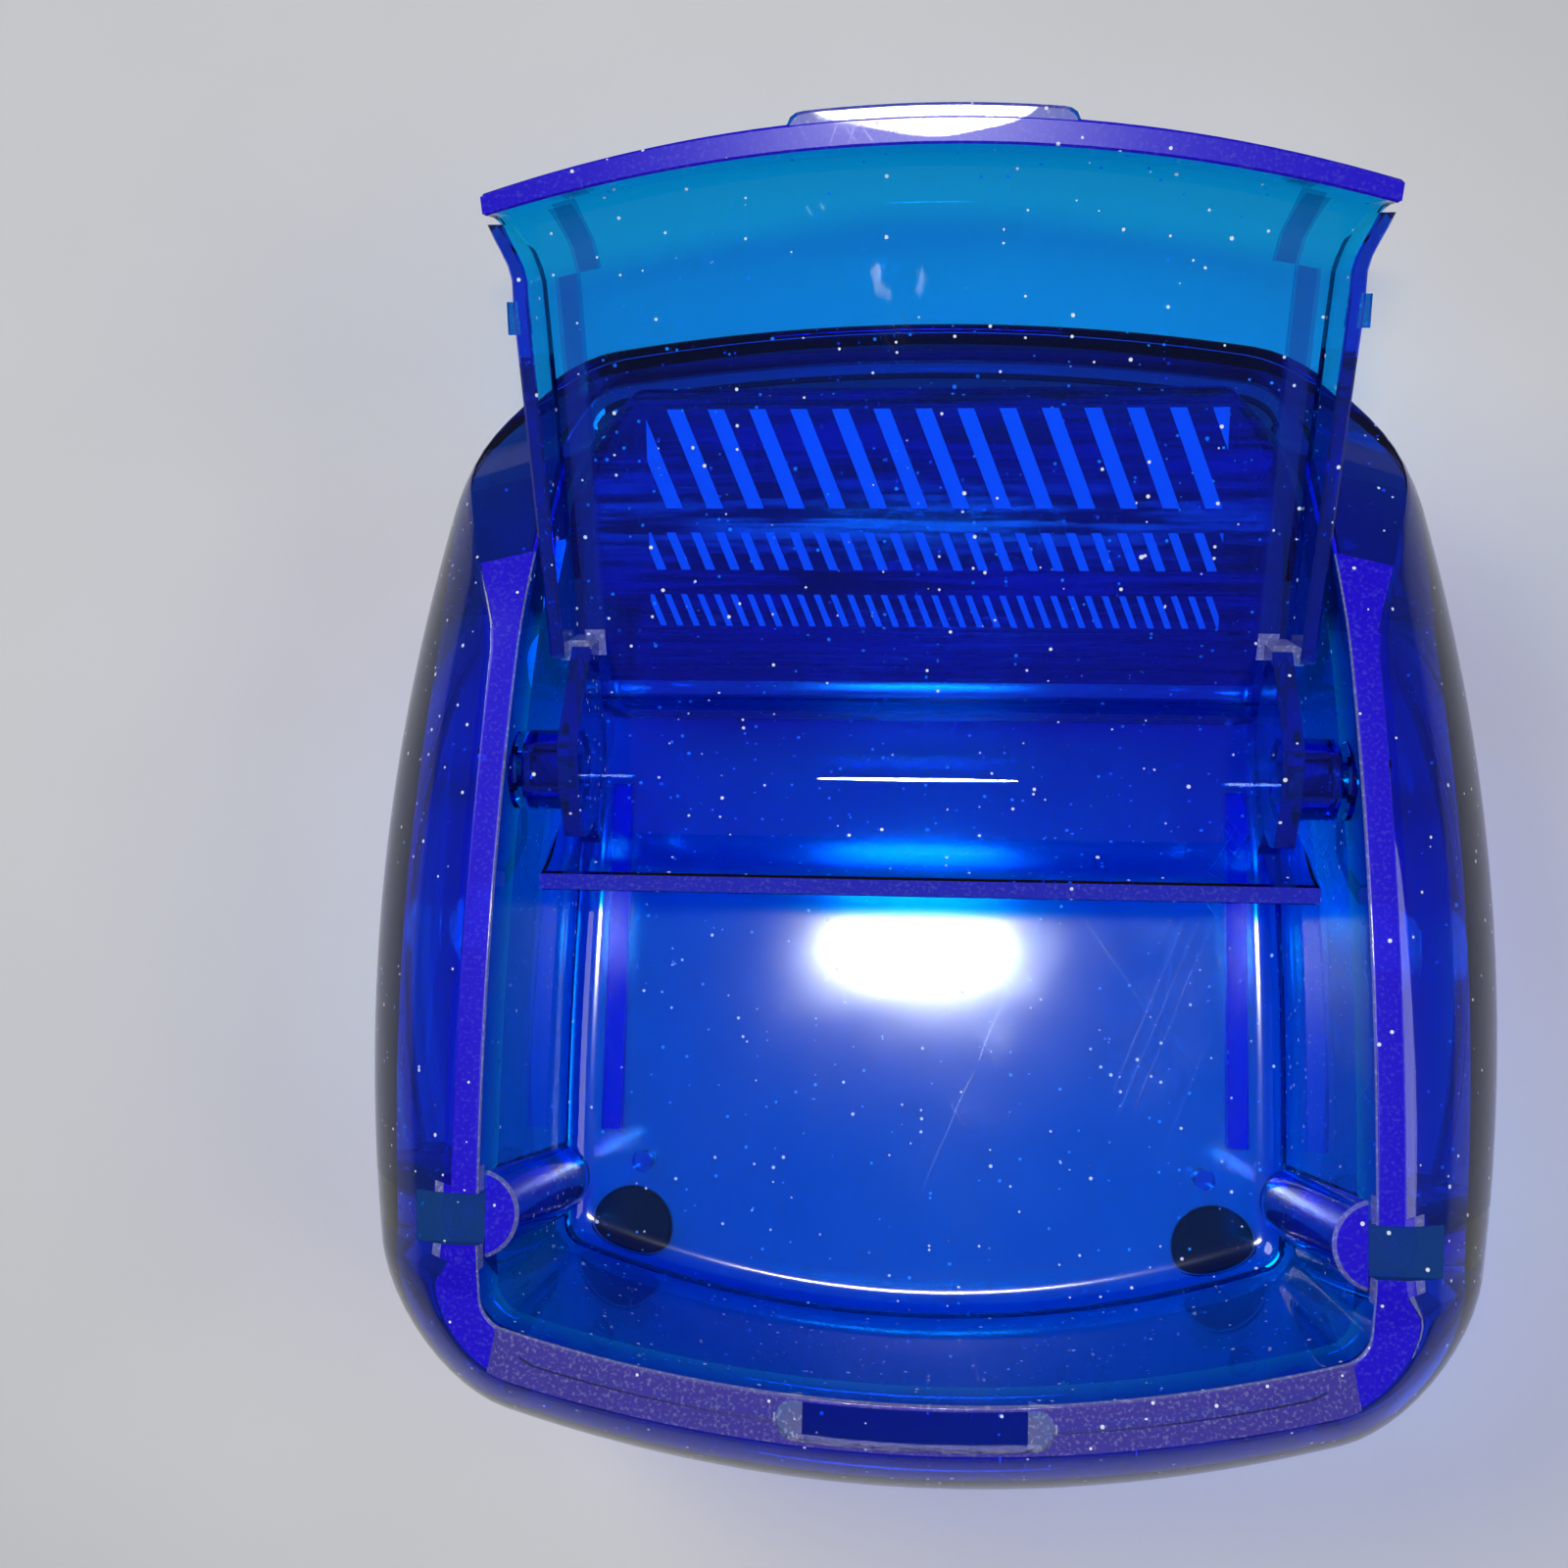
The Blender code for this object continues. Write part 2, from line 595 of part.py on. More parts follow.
def build_lid(material):
    """The lid, built shut around its pivot and then turned back."""
    lid = lid_sheet("lid", material)
    parts = []
    for side in (-1, 1):
        parts.append(lid_flange(f"lid_flange_{side}", side))
        low, high = sorted((side * EAR_INSIDE_X, side * EAR_OUTSIDE_X))
        parts.append(side_plate(f"lid_ear_{side}", low, high, ear_outline()))
        low, high = sorted((side * (EAR_OUTSIDE_X - MM), side * EAR_BOSS_X))
        parts.append(level_round(f"lid_boss_{side}", low, high, 0.0, 0.0, BOSS_RADIUS))
        low, high = sorted((side * (EAR_INSIDE_X + 0.3 * MM), side * 41.0 * MM))
        parts.append(box(f"lid_web_{side}", (low, -13.4 * MM, 6.2 * MM), (high, -11.1 * MM, 10.7 * MM)))
        low, high = sorted((side * 42.6 * MM, side * 44.9 * MM))
        parts.append(box(f"lid_nub_{side}", (low, -50.1 * MM, 4.9 * MM), (high, -46.7 * MM, 6.6 * MM)))
    tab = bowed_bar(
        "lid_tab", 15.2 * MM, -LID_REACH + 0.6 * MM, LID_BOW, 3.6 * MM,
        LID_EDGE_HEIGHT + 0.15 * MM, LID_EDGE_HEIGHT + 2.2 * MM, steps=20,
    )
    parts.append(tab)
    bores = []
    for side in (-1, 1):
        low, high = sorted((side * (PIN_INNER_X - 0.4 * MM), side * 46.0 * MM))
        bores.append(level_round(f"lid_bore_{side}", low, high, 0.0, 0.0, PIN_BORE_RADIUS))
    for tool in parts:
        join(lid, tool)
    for tool in bores:
        cut(lid, tool)
    for tool in [lid] + parts + bores:
        tool.location = (0.0, PIVOT_Y, PIVOT_Z)
        tool.rotation_euler = (-LID_OPEN_ANGLE, 0.0, 0.0)
    return lid


def build_hinge_pin(name, side, material):
    x_from, x_to = sorted((side * PIN_INNER_X, side * PIN_OUTER_X))
    pin = level_round(name, x_from, x_to, PIVOT_Y, PIVOT_Z, PIN_RADIUS, material)
    bevel = pin.modifiers.new("chamfer", "BEVEL")
    bevel.width = 0.3 * MM
    bevel.segments = 2
    bevel.limit_method = "ANGLE"
    bevel.angle_limit = math.radians(60.0)
    return pin


def build_foot(name, place, material):
    x, y = place
    top = FOOT_HEIGHT + FOOT_SEAT_DEPTH - 0.3 * MM
    return upright_round(name, x, y, FOOT_RADIUS, 0.0, top, material, bevel=0.4 * MM)


def main():
    for obj in list(bpy.data.objects):
        bpy.data.objects.remove(obj, do_unlink=True)
    shell_blue = make_material("shell_blue", (0.004, 0.045, 0.62), 0.08, transmission=0.8)
    lid_blue = make_material("lid_blue", (0.006, 0.06, 0.70), 0.06, transmission=0.85)
    saddle_blue = make_material("saddle_blue", (0.003, 0.03, 0.50), 0.22, transmission=0.7)
    base_blue = make_material("base_blue", (0.003, 0.035, 0.52), 0.10, transmission=0.8)
    pin_blue = make_material("pin_blue", (0.01, 0.07, 0.55), 0.15, transmission=0.6)
    foot_rubber = make_material("foot_rubber", (0.012, 0.012, 0.014), 0.75)
    build_base_bowl(base_blue)
    build_tray_shell(shell_blue)
    build_saddle(saddle_blue)
    build_lid(lid_blue)
    build_hinge_pin("hinge_pin_left", -1, pin_blue)
    build_hinge_pin("hinge_pin_right", 1, pin_blue)
    for name, place in FOOT_PLACES.items():
        build_foot(name, place, foot_rubber)


main()
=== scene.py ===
"""Flip-lid desk box in clear blue plastic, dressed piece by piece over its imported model.

Metres, +Z up. The box stands on z = 0 with its lid thrown back, and its front faces -Y.
"""

import json
import math

import bmesh
import bpy
from mathutils import Euler, Matrix, Vector
from mathutils.kdtree import KDTree


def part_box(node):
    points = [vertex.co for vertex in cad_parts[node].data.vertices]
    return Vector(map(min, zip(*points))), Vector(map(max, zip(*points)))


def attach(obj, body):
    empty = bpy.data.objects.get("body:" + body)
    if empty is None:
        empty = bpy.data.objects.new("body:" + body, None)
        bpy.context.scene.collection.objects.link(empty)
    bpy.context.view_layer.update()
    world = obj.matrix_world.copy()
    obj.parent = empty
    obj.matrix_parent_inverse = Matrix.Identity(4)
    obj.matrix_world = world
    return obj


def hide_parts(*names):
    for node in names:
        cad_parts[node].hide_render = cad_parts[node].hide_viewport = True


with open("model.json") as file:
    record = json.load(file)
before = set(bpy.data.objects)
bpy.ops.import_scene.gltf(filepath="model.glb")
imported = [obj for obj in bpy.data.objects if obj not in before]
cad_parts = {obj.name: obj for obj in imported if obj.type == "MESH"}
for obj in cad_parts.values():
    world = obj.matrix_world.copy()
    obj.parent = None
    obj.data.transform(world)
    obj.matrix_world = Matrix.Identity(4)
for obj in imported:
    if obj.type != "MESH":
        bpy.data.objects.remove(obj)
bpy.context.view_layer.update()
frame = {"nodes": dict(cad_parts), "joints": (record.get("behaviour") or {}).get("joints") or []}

bl_info = {
    "name": "Flip-lid desk box",
    "version": (1, 0, 0),
    "blender": (4, 5, 0),
    "location": "View3D > Sidebar > Desk box",
    "description": "Builds a rounded clear plastic desk box with a hinged lid that rolls back",
    "category": "Add Mesh",
}

MM = 0.001
HINGE = frame["joints"][0]
PIVOT = Vector(HINGE["pos_m"])
SHUT_TURN = math.radians(HINGE["range_deg"][1])

EDGE_STEPS = 22
CORNER_STEPS = 12
SIDE_STEPS = 34
REAR_CORNER_START = EDGE_STEPS + CORNER_STEPS + SIDE_STEPS
POINTS_ROUND = 2 * (REAR_CORNER_START + CORNER_STEPS + EDGE_STEPS)
ROUND_STEPS = 48
SHELL_STEPS = 22
SMOOTH_ANGLE = math.radians(30.0)


def length(name, description, default):
    return bpy.props.FloatProperty(
        name=name, description=description, default=default, unit="LENGTH", precision=5, min=0.0
    )


def colour(name, description, default):
    return bpy.props.FloatVectorProperty(
        name=name, description=description, default=default, subtype="COLOR", size=3, min=0.0, max=1.0
    )


def share(name, description, default):
    return bpy.props.FloatProperty(
        name=name, description=description, default=default, subtype="FACTOR", min=0.0, max=1.0
    )


def amount(name, description, default):
    return bpy.props.FloatProperty(name=name, description=description, default=default, min=0.0)


class DESKBOX_PG_shells(bpy.types.PropertyGroup):
    """Sizes of the two shells that make the body of the box."""

    base_z: length("Base height", "Height of the base plate's underside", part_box("base_bowl")[0][2])
    seam_z: length("Seam height", "Height of the widest line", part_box("base_bowl")[1][2])
    seam_gap: length("Seam gap", "Width of the line between the two shells", 0.3 * MM)
    rim_z: length("Rim height", "Height of the side rims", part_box("tray_shell")[1][2])
    floor_z: length("Floor height", "Height of the inside floor", 8.0 * MM)
    skin: length("Skin", "Wall thickness of the outer shells", 2.4 * MM)
    tray_wall: length("Tray wall", "Wall thickness of the tray", 2.2 * MM)
    fillet: length("Floor fillet", "Radius between the floor and the walls", 3.0 * MM)
    rim_round: length("Rim rounding", "Radius of the edges of the rim", 0.35 * MM)
    front_drop: length("Front drop", "How far the front edge lies below the side rims", 1.2 * MM)
    rear_drop: length("Rear drop", "How far the rear edge lies below the side rims", 13.0 * MM)
    side_sink: length("Side sink", "How far the side rims sink towards the rear", 5.0 * MM)
    post_radius: length("Post radius", "Radius of the two upright corner posts", 4.7 * MM)
    notch_depth: length("Notch depth", "Depth of the notches in the side rims", 2.6 * MM)
    recess_half: length("Recess half-length", "Half the length of the finger recess", 14.3 * MM)


class DESKBOX_PG_lid(bpy.types.PropertyGroup):
    """Sizes of the lid, its hinge and the saddle that it rolls over."""

    thickness: length("Lid thickness", "Thickness of the lid's panel", 2.3 * MM)
    reach: length("Lid reach", "From the pivot to the front edge of the lid", 68.0 * MM)
    bow: length("Lid bow", "How far the front corners lie behind the middle", 7.0 * MM)
    knuckle_in: length("Roll inside", "Inside radius of the rolled tail", 12.0 * MM)
    knuckle_out: length("Roll outside", "Outside radius of the rolled tail", 14.3 * MM)
    flange: length("Side wall", "Thickness of the lid's side walls", 1.8 * MM)
    boss_radius: length("Boss radius", "Radius of the hinge bosses", 4.4 * MM)
    pin_radius: length("Pin radius", "Radius of the hinge pins", 1.9 * MM)
    bore_radius: length("Bore radius", "Radius of the holes for the pins", 2.0 * MM)
    saddle_radius: length("Saddle radius", "Radius of the saddle's curved top", 20.0 * MM)
    saddle_wall: length("Saddle wall", "Thickness of the saddle", 2.2 * MM)


class DESKBOX_PG_finish(bpy.types.PropertyGroup):
    """Colours, wear and light."""

    passed: colour("Passed colour", "What the plastic lets through best", (0.0, 0.866, 0.992))
    depth: amount("Depth of colour", "How fast the colour deepens with thickness, per metre", 1500.0)
    gloss: share("Roughness", "Roughness of the polished faces", 0.0)
    dust: share("Dust", "How many dust specks lie on the plastic", 0.5)
    scratches: share("Scratches", "How strongly hair scratches show", 0.28)
    ink: colour("Ink", "Colour of the printed bands", (0.02, 0.26, 0.80))
    rubber: colour("Rubber", "Colour of the feet", (0.010, 0.010, 0.012))
    ground: colour("Floor", "Colour of the floor", (0.62, 0.62, 0.63))
    key: amount("Key light", "Power of the large soft light", 3.4)
    fill: amount("Fill light", "Power of the second soft light", 1.9)
    spark: amount("Lens light", "Power of the small light beside the camera", 0.42)


# ---------------------------------------------------------------------------
# Plan outlines


def arc(start, end, steps):
    """Angles in radians from start to end, which are in degrees, with both included."""
    return [math.radians(start + (end - start) * i / steps) for i in range(steps + 1)]


class Outline:
    """A rounded plan outline: bowed ends, and long arcs for sides."""

    names = (
        "half_width", "widest_y", "side_curve", "front_y", "rear_y",
        "front_bow", "rear_bow", "front_corner", "rear_corner",
    )

    def __init__(self, *values):
        self.values = dict(zip(self.names, [v * MM for v in values]))

    def points(self, grow=0.0):
        """Points all the way round from the middle of the front, moved outwards by grow."""
        v = self.values
        width = v["half_width"] + grow
        front = v["front_y"] - grow + v["front_bow"]
        rear = v["rear_y"] + grow - v["rear_bow"]
        near = max(v["front_corner"] + grow, LEAST_CORNER)
        far = max(v["rear_corner"] + grow, LEAST_CORNER)
        half = [((width - near) * i / EDGE_STEPS, front) for i in range(EDGE_STEPS)]
        for turn in arc(-90.0, 0.0, CORNER_STEPS):
            half.append((width - near + near * math.cos(turn), front + near + near * math.sin(turn)))
        start, end = front + near, rear - far
        half += [(width, start + (end - start) * i / SIDE_STEPS) for i in range(1, SIDE_STEPS)]
        for turn in arc(0.0, 90.0, CORNER_STEPS):
            half.append((width - far + far * math.cos(turn), rear - far + far * math.sin(turn)))
        half += [((width - far) * (1 - i / EDGE_STEPS), rear) for i in range(1, EDGE_STEPS + 1)]
        half = [self.bent(x, y, width, front, rear) for x, y in half]
        return half + [(-x, y) for x, y in reversed(half[1:-1])]

    def bent(self, x, y, width, front, rear):
        v = self.values
        across = 1 - (x / width) ** 2
        along = (2 * y - front - rear) / (rear - front)
        bow = -v["front_bow"] * max(0.0, -along) + v["rear_bow"] * max(0.0, along)
        narrowing = (y - v["widest_y"]) ** 2 / (2 * v["side_curve"] * width)
        return x * (1 - narrowing), y + bow * across


RIM = Outline(49.0, -27.4, 600.0, -63.4, 50.6, 7.0, 4.0, 6.5, 8.0)
BULGE = Outline(64.0, -15.4, 200.0, -72.09, 61.0, 11.0, 6.0, 15.0, 18.0)
BASE = Outline(50.0, -15.4, 250.0, -61.4, 48.6, 9.0, 5.0, 10.0, 12.0)
TRAY_TOP = Outline(46.0, -27.4, 600.0, -59.8, 47.6, 6.5, 3.5, 2.5, 4.0)
TRAY_REAR_TOP = Outline(46.0, -27.4, 600.0, -59.8, 55.0, 6.5, 3.5, 2.5, 5.0)
TRAY_FLOOR = Outline(45.0, -27.4, 600.0, -57.8, 46.0, 8.0, 3.5, 2.0, 9.0)
LEAST_CORNER = 1.5 * MM
LOWER_FULLNESS = 0.84
UPPER_FULLNESS = 0.92
FRONT_HALF_WIDTH = 46.0 * MM
FRONT_BOW = 6.8 * MM
LEDGE_START, LEDGE_RUN = -46.0 * MM, 5.0 * MM
SINK_START, SINK_RUN = 17.5 * MM, 25.0 * MM
POST_PLACE = (46.9 * MM, -42.7 * MM)
POST_TOP = 47.0 * MM
NOTCH_Y = -42.9 * MM
NOTCH_LENGTH = 5.3 * MM
RIB_X, RIB_HALF = 40.0 * MM, 1.3 * MM
RIB_FRONT, RIB_REAR = -36.5 * MM, 8.5 * MM
STUD_PLACE = (35.8 * MM, -40.5 * MM)
STUD_RADIUS = 1.3 * MM
SOCKET_RADIUS = 1.6 * MM
SEAT_PLAY = 0.3 * MM
SEAT_DEPTH = 0.8 * MM


def smooth_step(value):
    value = min(1.0, max(0.0, value))
    return value * value * (3 - 2 * value)


def arc_share(height_share, fullness):
    """1 at the widest line and 0 at the far end, following the arc of a bulging wall."""
    drop = 1 - math.sqrt(1 - (fullness * height_share) ** 2)
    return 1 - drop / (1 - math.sqrt(1 - fullness**2))


def blended(first, second, shares):
    pairs = zip(first, second, shares)
    return [(a[0] + (b[0] - a[0]) * t, a[1] + (b[1] - a[1]) * t) for a, b, t in pairs]


def rear_share(index):
    """0 along the sides and front, rising round each rear corner to 1 along the rear edge."""
    index = min(index, POINTS_ROUND - index)
    steps = (index - REAR_CORNER_START) / CORNER_STEPS
    return smooth_step((steps + 0.2) / 0.8)


def edge_heights(sizes, outline):
    """The height of the top edge at each point of an outline."""
    heights = []
    for i, (_, y) in enumerate(outline.points()):
        front = smooth_step((LEDGE_START - y) / LEDGE_RUN)
        sink = sizes.side_sink * smooth_step((y - SINK_START) / SINK_RUN)
        rear = rear_share(i)
        drop = sizes.front_drop * front
        heights.append(sizes.rim_z - drop - sink * (1 - rear) - sizes.rear_drop * rear)
    return heights


def lifted(points, heights):
    return [(x, y, z) for (x, y), z in zip(points, heights)]


def lower_ring(sizes, z, grow=0.0):
    """The outside of the base bowl at height z."""
    part = arc_share((sizes.seam_z - z) / (sizes.seam_z - sizes.base_z), LOWER_FULLNESS)
    points = blended(BASE.points(grow), BULGE.points(grow), [part] * POINTS_ROUND)
    return lifted(points, [z] * POINTS_ROUND)


def upper_ring(sizes, rise, grow=0.0, drop=0.0):
    """The outside of the tray shell: rise runs from 0 at the seam to 1 at the top edge."""
    seam = sizes.seam_z + sizes.seam_gap
    heights = [seam + (top - seam) * rise - drop for top in edge_heights(sizes, RIM)]
    tall = sizes.rim_z - sizes.seam_z
    parts = [arc_share(max(0.0, z - sizes.seam_z) / tall, UPPER_FULLNESS) for z in heights]
    points = blended(RIM.points(grow), BULGE.points(grow), parts)
    return lifted(points, heights)


def tray_ring(sizes, rise, grow=0.0, drop=0.0):
    """The inside of the tray: rise runs from 0 at the floor to 1 at the top edge."""
    rear = [rear_share(i) for i in range(POINTS_ROUND)]
    top = blended(TRAY_TOP.points(grow), TRAY_REAR_TOP.points(grow), rear)
    points = blended(TRAY_FLOOR.points(grow), top, [rise] * POINTS_ROUND)
    tops = edge_heights(sizes, TRAY_TOP)
    heights = [sizes.floor_z + (z - sizes.floor_z) * rise - drop for z in tops]
    return lifted(points, heights)


# ---------------------------------------------------------------------------
# Solids


ALL_ROUND = [2 * math.pi * i / ROUND_STEPS for i in range(ROUND_STEPS)]
BLUNT_END = 0.12 * MM


def closed_mesh(bm, name):
    bmesh.ops.recalc_face_normals(bm, faces=bm.faces)
    mesh = bpy.data.meshes.new(name)
    bm.to_mesh(mesh)
    bm.free()
    return mesh


def linked(name, mesh):
    obj = bpy.data.objects.new(name, mesh)
    bpy.context.scene.collection.objects.link(obj)
    return obj


def settled(obj):
    """The mesh of an object with its modifiers applied."""
    bpy.context.view_layer.update()
    evaluated = obj.evaluated_get(bpy.context.evaluated_depsgraph_get())
    return bpy.data.meshes.new_from_object(evaluated)


def lofted(name, rings):
    """A closed solid through rings that all have the same number of points."""
    bm = bmesh.new()
    rows = [[bm.verts.new(p) for p in points] for points in rings]
    for below, above in zip(rows, rows[1:]):
        for i in range(len(below)):
            j = (i + 1) % len(below)
            bm.faces.new((below[i], below[j], above[j], above[i]))
    bm.faces.new(rows[0])
    bm.faces.new(rows[-1])
    return linked(name, closed_mesh(bm, name))


def block(name, low, high):
    corners = [(low[0], low[1]), (high[0], low[1]), (high[0], high[1]), (low[0], high[1])]
    return lofted(name, [[(x, y, z) for x, y in corners] for z in (low[2], high[2])])


def side_block(name, side, across, along, up):
    """A block on one side of the middle, from its limits across, along and up."""
    low, high = sorted(side * x for x in across)
    return block(name, (low, along[0], up[0]), (high, along[1], up[1]))


def upright_round(name, x, y, sections):
    """An upright turned piece from (radius, height) sections."""
    rows = [[(r * math.cos(t), r * math.sin(t), z) for t in ALL_ROUND] for r, z in sections]
    return lofted(name, [[(x + a, y + b, z) for a, b, z in row] for row in rows])


def level_round(name, sections, y, z, side=1):
    """A piece turned about an axis along X, from (x, radius) sections."""
    rows = [[(side * x, r * math.cos(t), r * math.sin(t)) for t in ALL_ROUND] for x, r in sections]
    return lofted(name, [[(x, y + a, z + b) for x, a, b in row] for row in rows])


def bowed_bar(name, half_length, y, bow, width, bottom, top, steps, edge=0.0):
    """A bar along X that follows a bow, with rounded ends and, where edge is given, eased edges."""
    def line(side, inset):
        points = []
        for i in range(steps + 1):
            x = (half_length - inset) * (2 * i / steps - 1)
            end = min(half_length - inset - abs(x), width / 2)
            reach = math.sqrt(max(0.0, (width / 2) ** 2 - (width / 2 - end) ** 2)) - inset
            points.append((x, y + bow * (x / FRONT_HALF_WIDTH) ** 2 + side * max(reach, BLUNT_END)))
        return points

    def ring(z, inset):
        return [(px, py, z) for px, py in line(-1, inset) + line(1, inset)[::-1]]

    if not edge:
        return lofted(name, [ring(bottom, 0.0), ring(top, 0.0)])
    rings = [ring(bottom, edge), ring(bottom + edge, 0.0), ring(top - edge, 0.0), ring(top, edge)]
    return lofted(name, rings)


def shaped(target, joins=(), cuts=()):
    """Joins and cuts a solid with others, smooths it and clears the tools away."""
    for operation, tools in (("UNION", joins), ("DIFFERENCE", cuts)):
        for tool in tools:
            step = target.modifiers.new(tool.name, "BOOLEAN")
            step.operation = operation
            step.solver = "EXACT"
            step.object = tool
    mesh = settled(target)
    name = target.name
    for obj in [target, *joins, *cuts]:
        bpy.data.objects.remove(obj, do_unlink=True)
    mesh.shade_smooth()
    mesh.set_sharp_from_angle(angle=SMOOTH_ANGLE)
    piece = linked(name, mesh)
    step = piece.modifiers.new("weighted_normals", "WEIGHTED_NORMAL")
    step.keep_sharp = True
    step.weight = 80
    piece.data = settled(piece)
    piece.modifiers.clear()
    return piece


# Tints laid over faces: a colour, and how strong it is. The chalky tint is frost and dust. The deep,
# bright, teal and side tints are painted light: the deep blue that light picks up running through the
# plastic's thickness to an edge seen end-on. The dusty and tab tints are dust over that painted light.
# The outer wall tint is painted shade that darkens the outward walls.
DEEP_EDGE_PAINTED_LIGHT = (0.012, 0.003, 0.52, 0.88)
BRIGHT_EDGE_PAINTED_LIGHT = (0.020, 0.024, 0.46, 0.85)
DUST_OVER_PAINTED_LIGHT = (0.06, 0.045, 0.30, 0.70)
CHALKY_EDGE = (0.17, 0.18, 0.40, 0.60)
TAB_DUST_OVER_PAINTED_LIGHT = (0.05, 0.04, 0.32, 0.75)
TEAL_EDGE_PAINTED_LIGHT = (0.003, 0.040, 0.15, 0.70)
SIDE_EDGE_PAINTED_LIGHT = (0.004, 0.02, 0.22, 0.35)
OUTER_WALL_PAINTED_SHADE = (0.002, 0.016, 0.085, 0.28)
NO_EDGE = (0.0, 0.0, 0.0, 0.0)
NEAR = 0.1 * MM


def mark_edges(mesh, tint_at):
    """Stores on each face the tint that a rule gives for its place and normal: frost and dust, painted
    light and painted shade.
    """
    layer = mesh.attributes.new("edge_tint", "FLOAT_COLOR", "FACE")
    for face in mesh.polygons:
        layer.data[face.index].color = tint_at(face.center, face.normal)


def dress(piece, material, slot_name, body, *nodes):
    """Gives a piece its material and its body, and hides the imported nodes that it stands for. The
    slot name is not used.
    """
    piece.data.materials.clear()
    piece.data.materials.append(material)
    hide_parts(*nodes)
    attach(piece, body)
    return piece


# ---------------------------------------------------------------------------
# Materials


def both_ways(operation):
    """The method for an operator, and the one for a Value on the right of a plain number."""
    def forward(self, other):
        return self.math(operation, other)

    def reflected(self, other):
        return self.finish.node("ShaderNodeMath", {"operation": operation}, {0: other, 1: self})

    return forward, reflected


class Value:
    """A shader number that adds Math nodes when it is used in an expression."""

    def __init__(self, finish, socket):
        self.finish = finish
        self.socket = socket

    def math(self, operation, *others):
        inputs = dict(enumerate([self, *others]))
        return self.finish.node("ShaderNodeMath", {"operation": operation}, inputs)

    __add__, __radd__ = both_ways("ADD")
    __sub__, __rsub__ = both_ways("SUBTRACT")
    __mul__, __rmul__ = both_ways("MULTIPLY")
    __truediv__, __rtruediv__ = both_ways("DIVIDE")

    def __abs__(self):
        return self.math("ABSOLUTE")

    def over(self, limit):
        return self.math("GREATER_THAN", limit)

    def under(self, limit):
        return self.math("LESS_THAN", limit)

    def eased(self, low, high):
        """0 below low and 1 above high, with a smooth run between."""
        settings = {"interpolation_type": "SMOOTHSTEP"}
        return self.finish.node("ShaderNodeMapRange", settings, {0: self, 1: low, 2: high})

    def clamped(self):
        return self.finish.node("ShaderNodeClamp", {}, {0: self})


class Nodes:
    """What the trees of materials and of Geometry Nodes share."""

    def made(self, kind, settings=None, inputs=None):
        """Adds a node: its settings first, then the values or links of its sockets."""
        made = self.tree.nodes.new(kind)
        for key, value in (settings or {}).items():
            setattr(made, key, value)
        for key, value in (inputs or {}).items():
            self.feed(made.inputs[key], value)
        return made

    def feed(self, socket, value):
        if isinstance(value, Value):
            value = value.socket
        if isinstance(value, bpy.types.NodeSocket):
            self.tree.links.new(value, socket)
        else:
            socket.default_value = value


class Finish(Nodes):
    """One material and the nodes inside it."""

    def __init__(self, name, look):
        self.material = bpy.data.materials.new(name)
        self.material.use_nodes = True
        self.material.diffuse_color = (*look, 1.0)
        self.tree = self.material.node_tree
        self.tree.nodes.clear()
        self.out = self.made("ShaderNodeOutputMaterial")
        self.place = self.node("ShaderNodeTexCoord", output="Object")

    def node(self, kind, settings=None, inputs=None, output=0):
        """Adds a node and returns one of its outputs as a Value."""
        return Value(self, self.made(kind, settings, inputs).outputs[output])

    def axis(self, index, vector=None):
        """One coordinate of a vector, by default of the place on the object."""
        vector = vector or self.place
        return self.node("ShaderNodeSeparateXYZ", {}, {0: vector}, index)

    def placed(self, turn, stretch):
        """The place on the object, turned and then stretched."""
        inputs = {"Vector": self.place, "Rotation": turn, "Scale": stretch}
        return self.node("ShaderNodeMapping", {}, inputs)

    def noise(self, scale, detail, vector=None, rough=0.5):
        vector = vector or self.place
        inputs = {"Vector": vector, "Scale": scale, "Detail": detail, "Roughness": rough}
        return self.node("ShaderNodeTexNoise", {}, inputs)

    def mixed(self, factor, *colours):
        """A colour between two colours."""
        first, second = ((*c, 1.0) if isinstance(c, tuple) else c for c in colours)
        return self.node("ShaderNodeMix", {"data_type": "RGBA"}, {0: factor, 6: first, 7: second}, 2)

    def bump(self, height, distance, strength):
        inputs = {"Height": height, "Distance": distance, "Strength": strength}
        return self.node("ShaderNodeBump", {}, inputs)

    def plastic(self, inputs):
        return self.node("ShaderNodeBsdfPrincipled", {}, inputs)

    def layered(self, factor, under, over):
        return self.node("ShaderNodeMixShader", {}, {0: factor, 1: under, 2: over})

    def closed(self, surface, volume=None):
        """Links the output and returns the material."""
        self.feed(self.out.inputs["Surface"], surface)
        if volume is not None:
            self.feed(self.out.inputs["Volume"], volume)
        return self.material


def specks(finish, scale, size, chosen):
    """Round specks in a random share of cells."""
    inputs = {"Vector": finish.place, "Scale": scale}
    cells = finish.made("ShaderNodeTexVoronoi", {"feature": "F1"}, inputs)
    near = Value(finish, cells.outputs["Distance"])
    pick = finish.axis(0, Value(finish, cells.outputs["Color"]))
    return near.under(size * (0.4 + pick * 3.0)) * pick.under(chosen)


SCRATCH_WIDTH = 0.07
SCRATCH_KEPT = 0.4
SCRATCH_PATCHES = 0.69


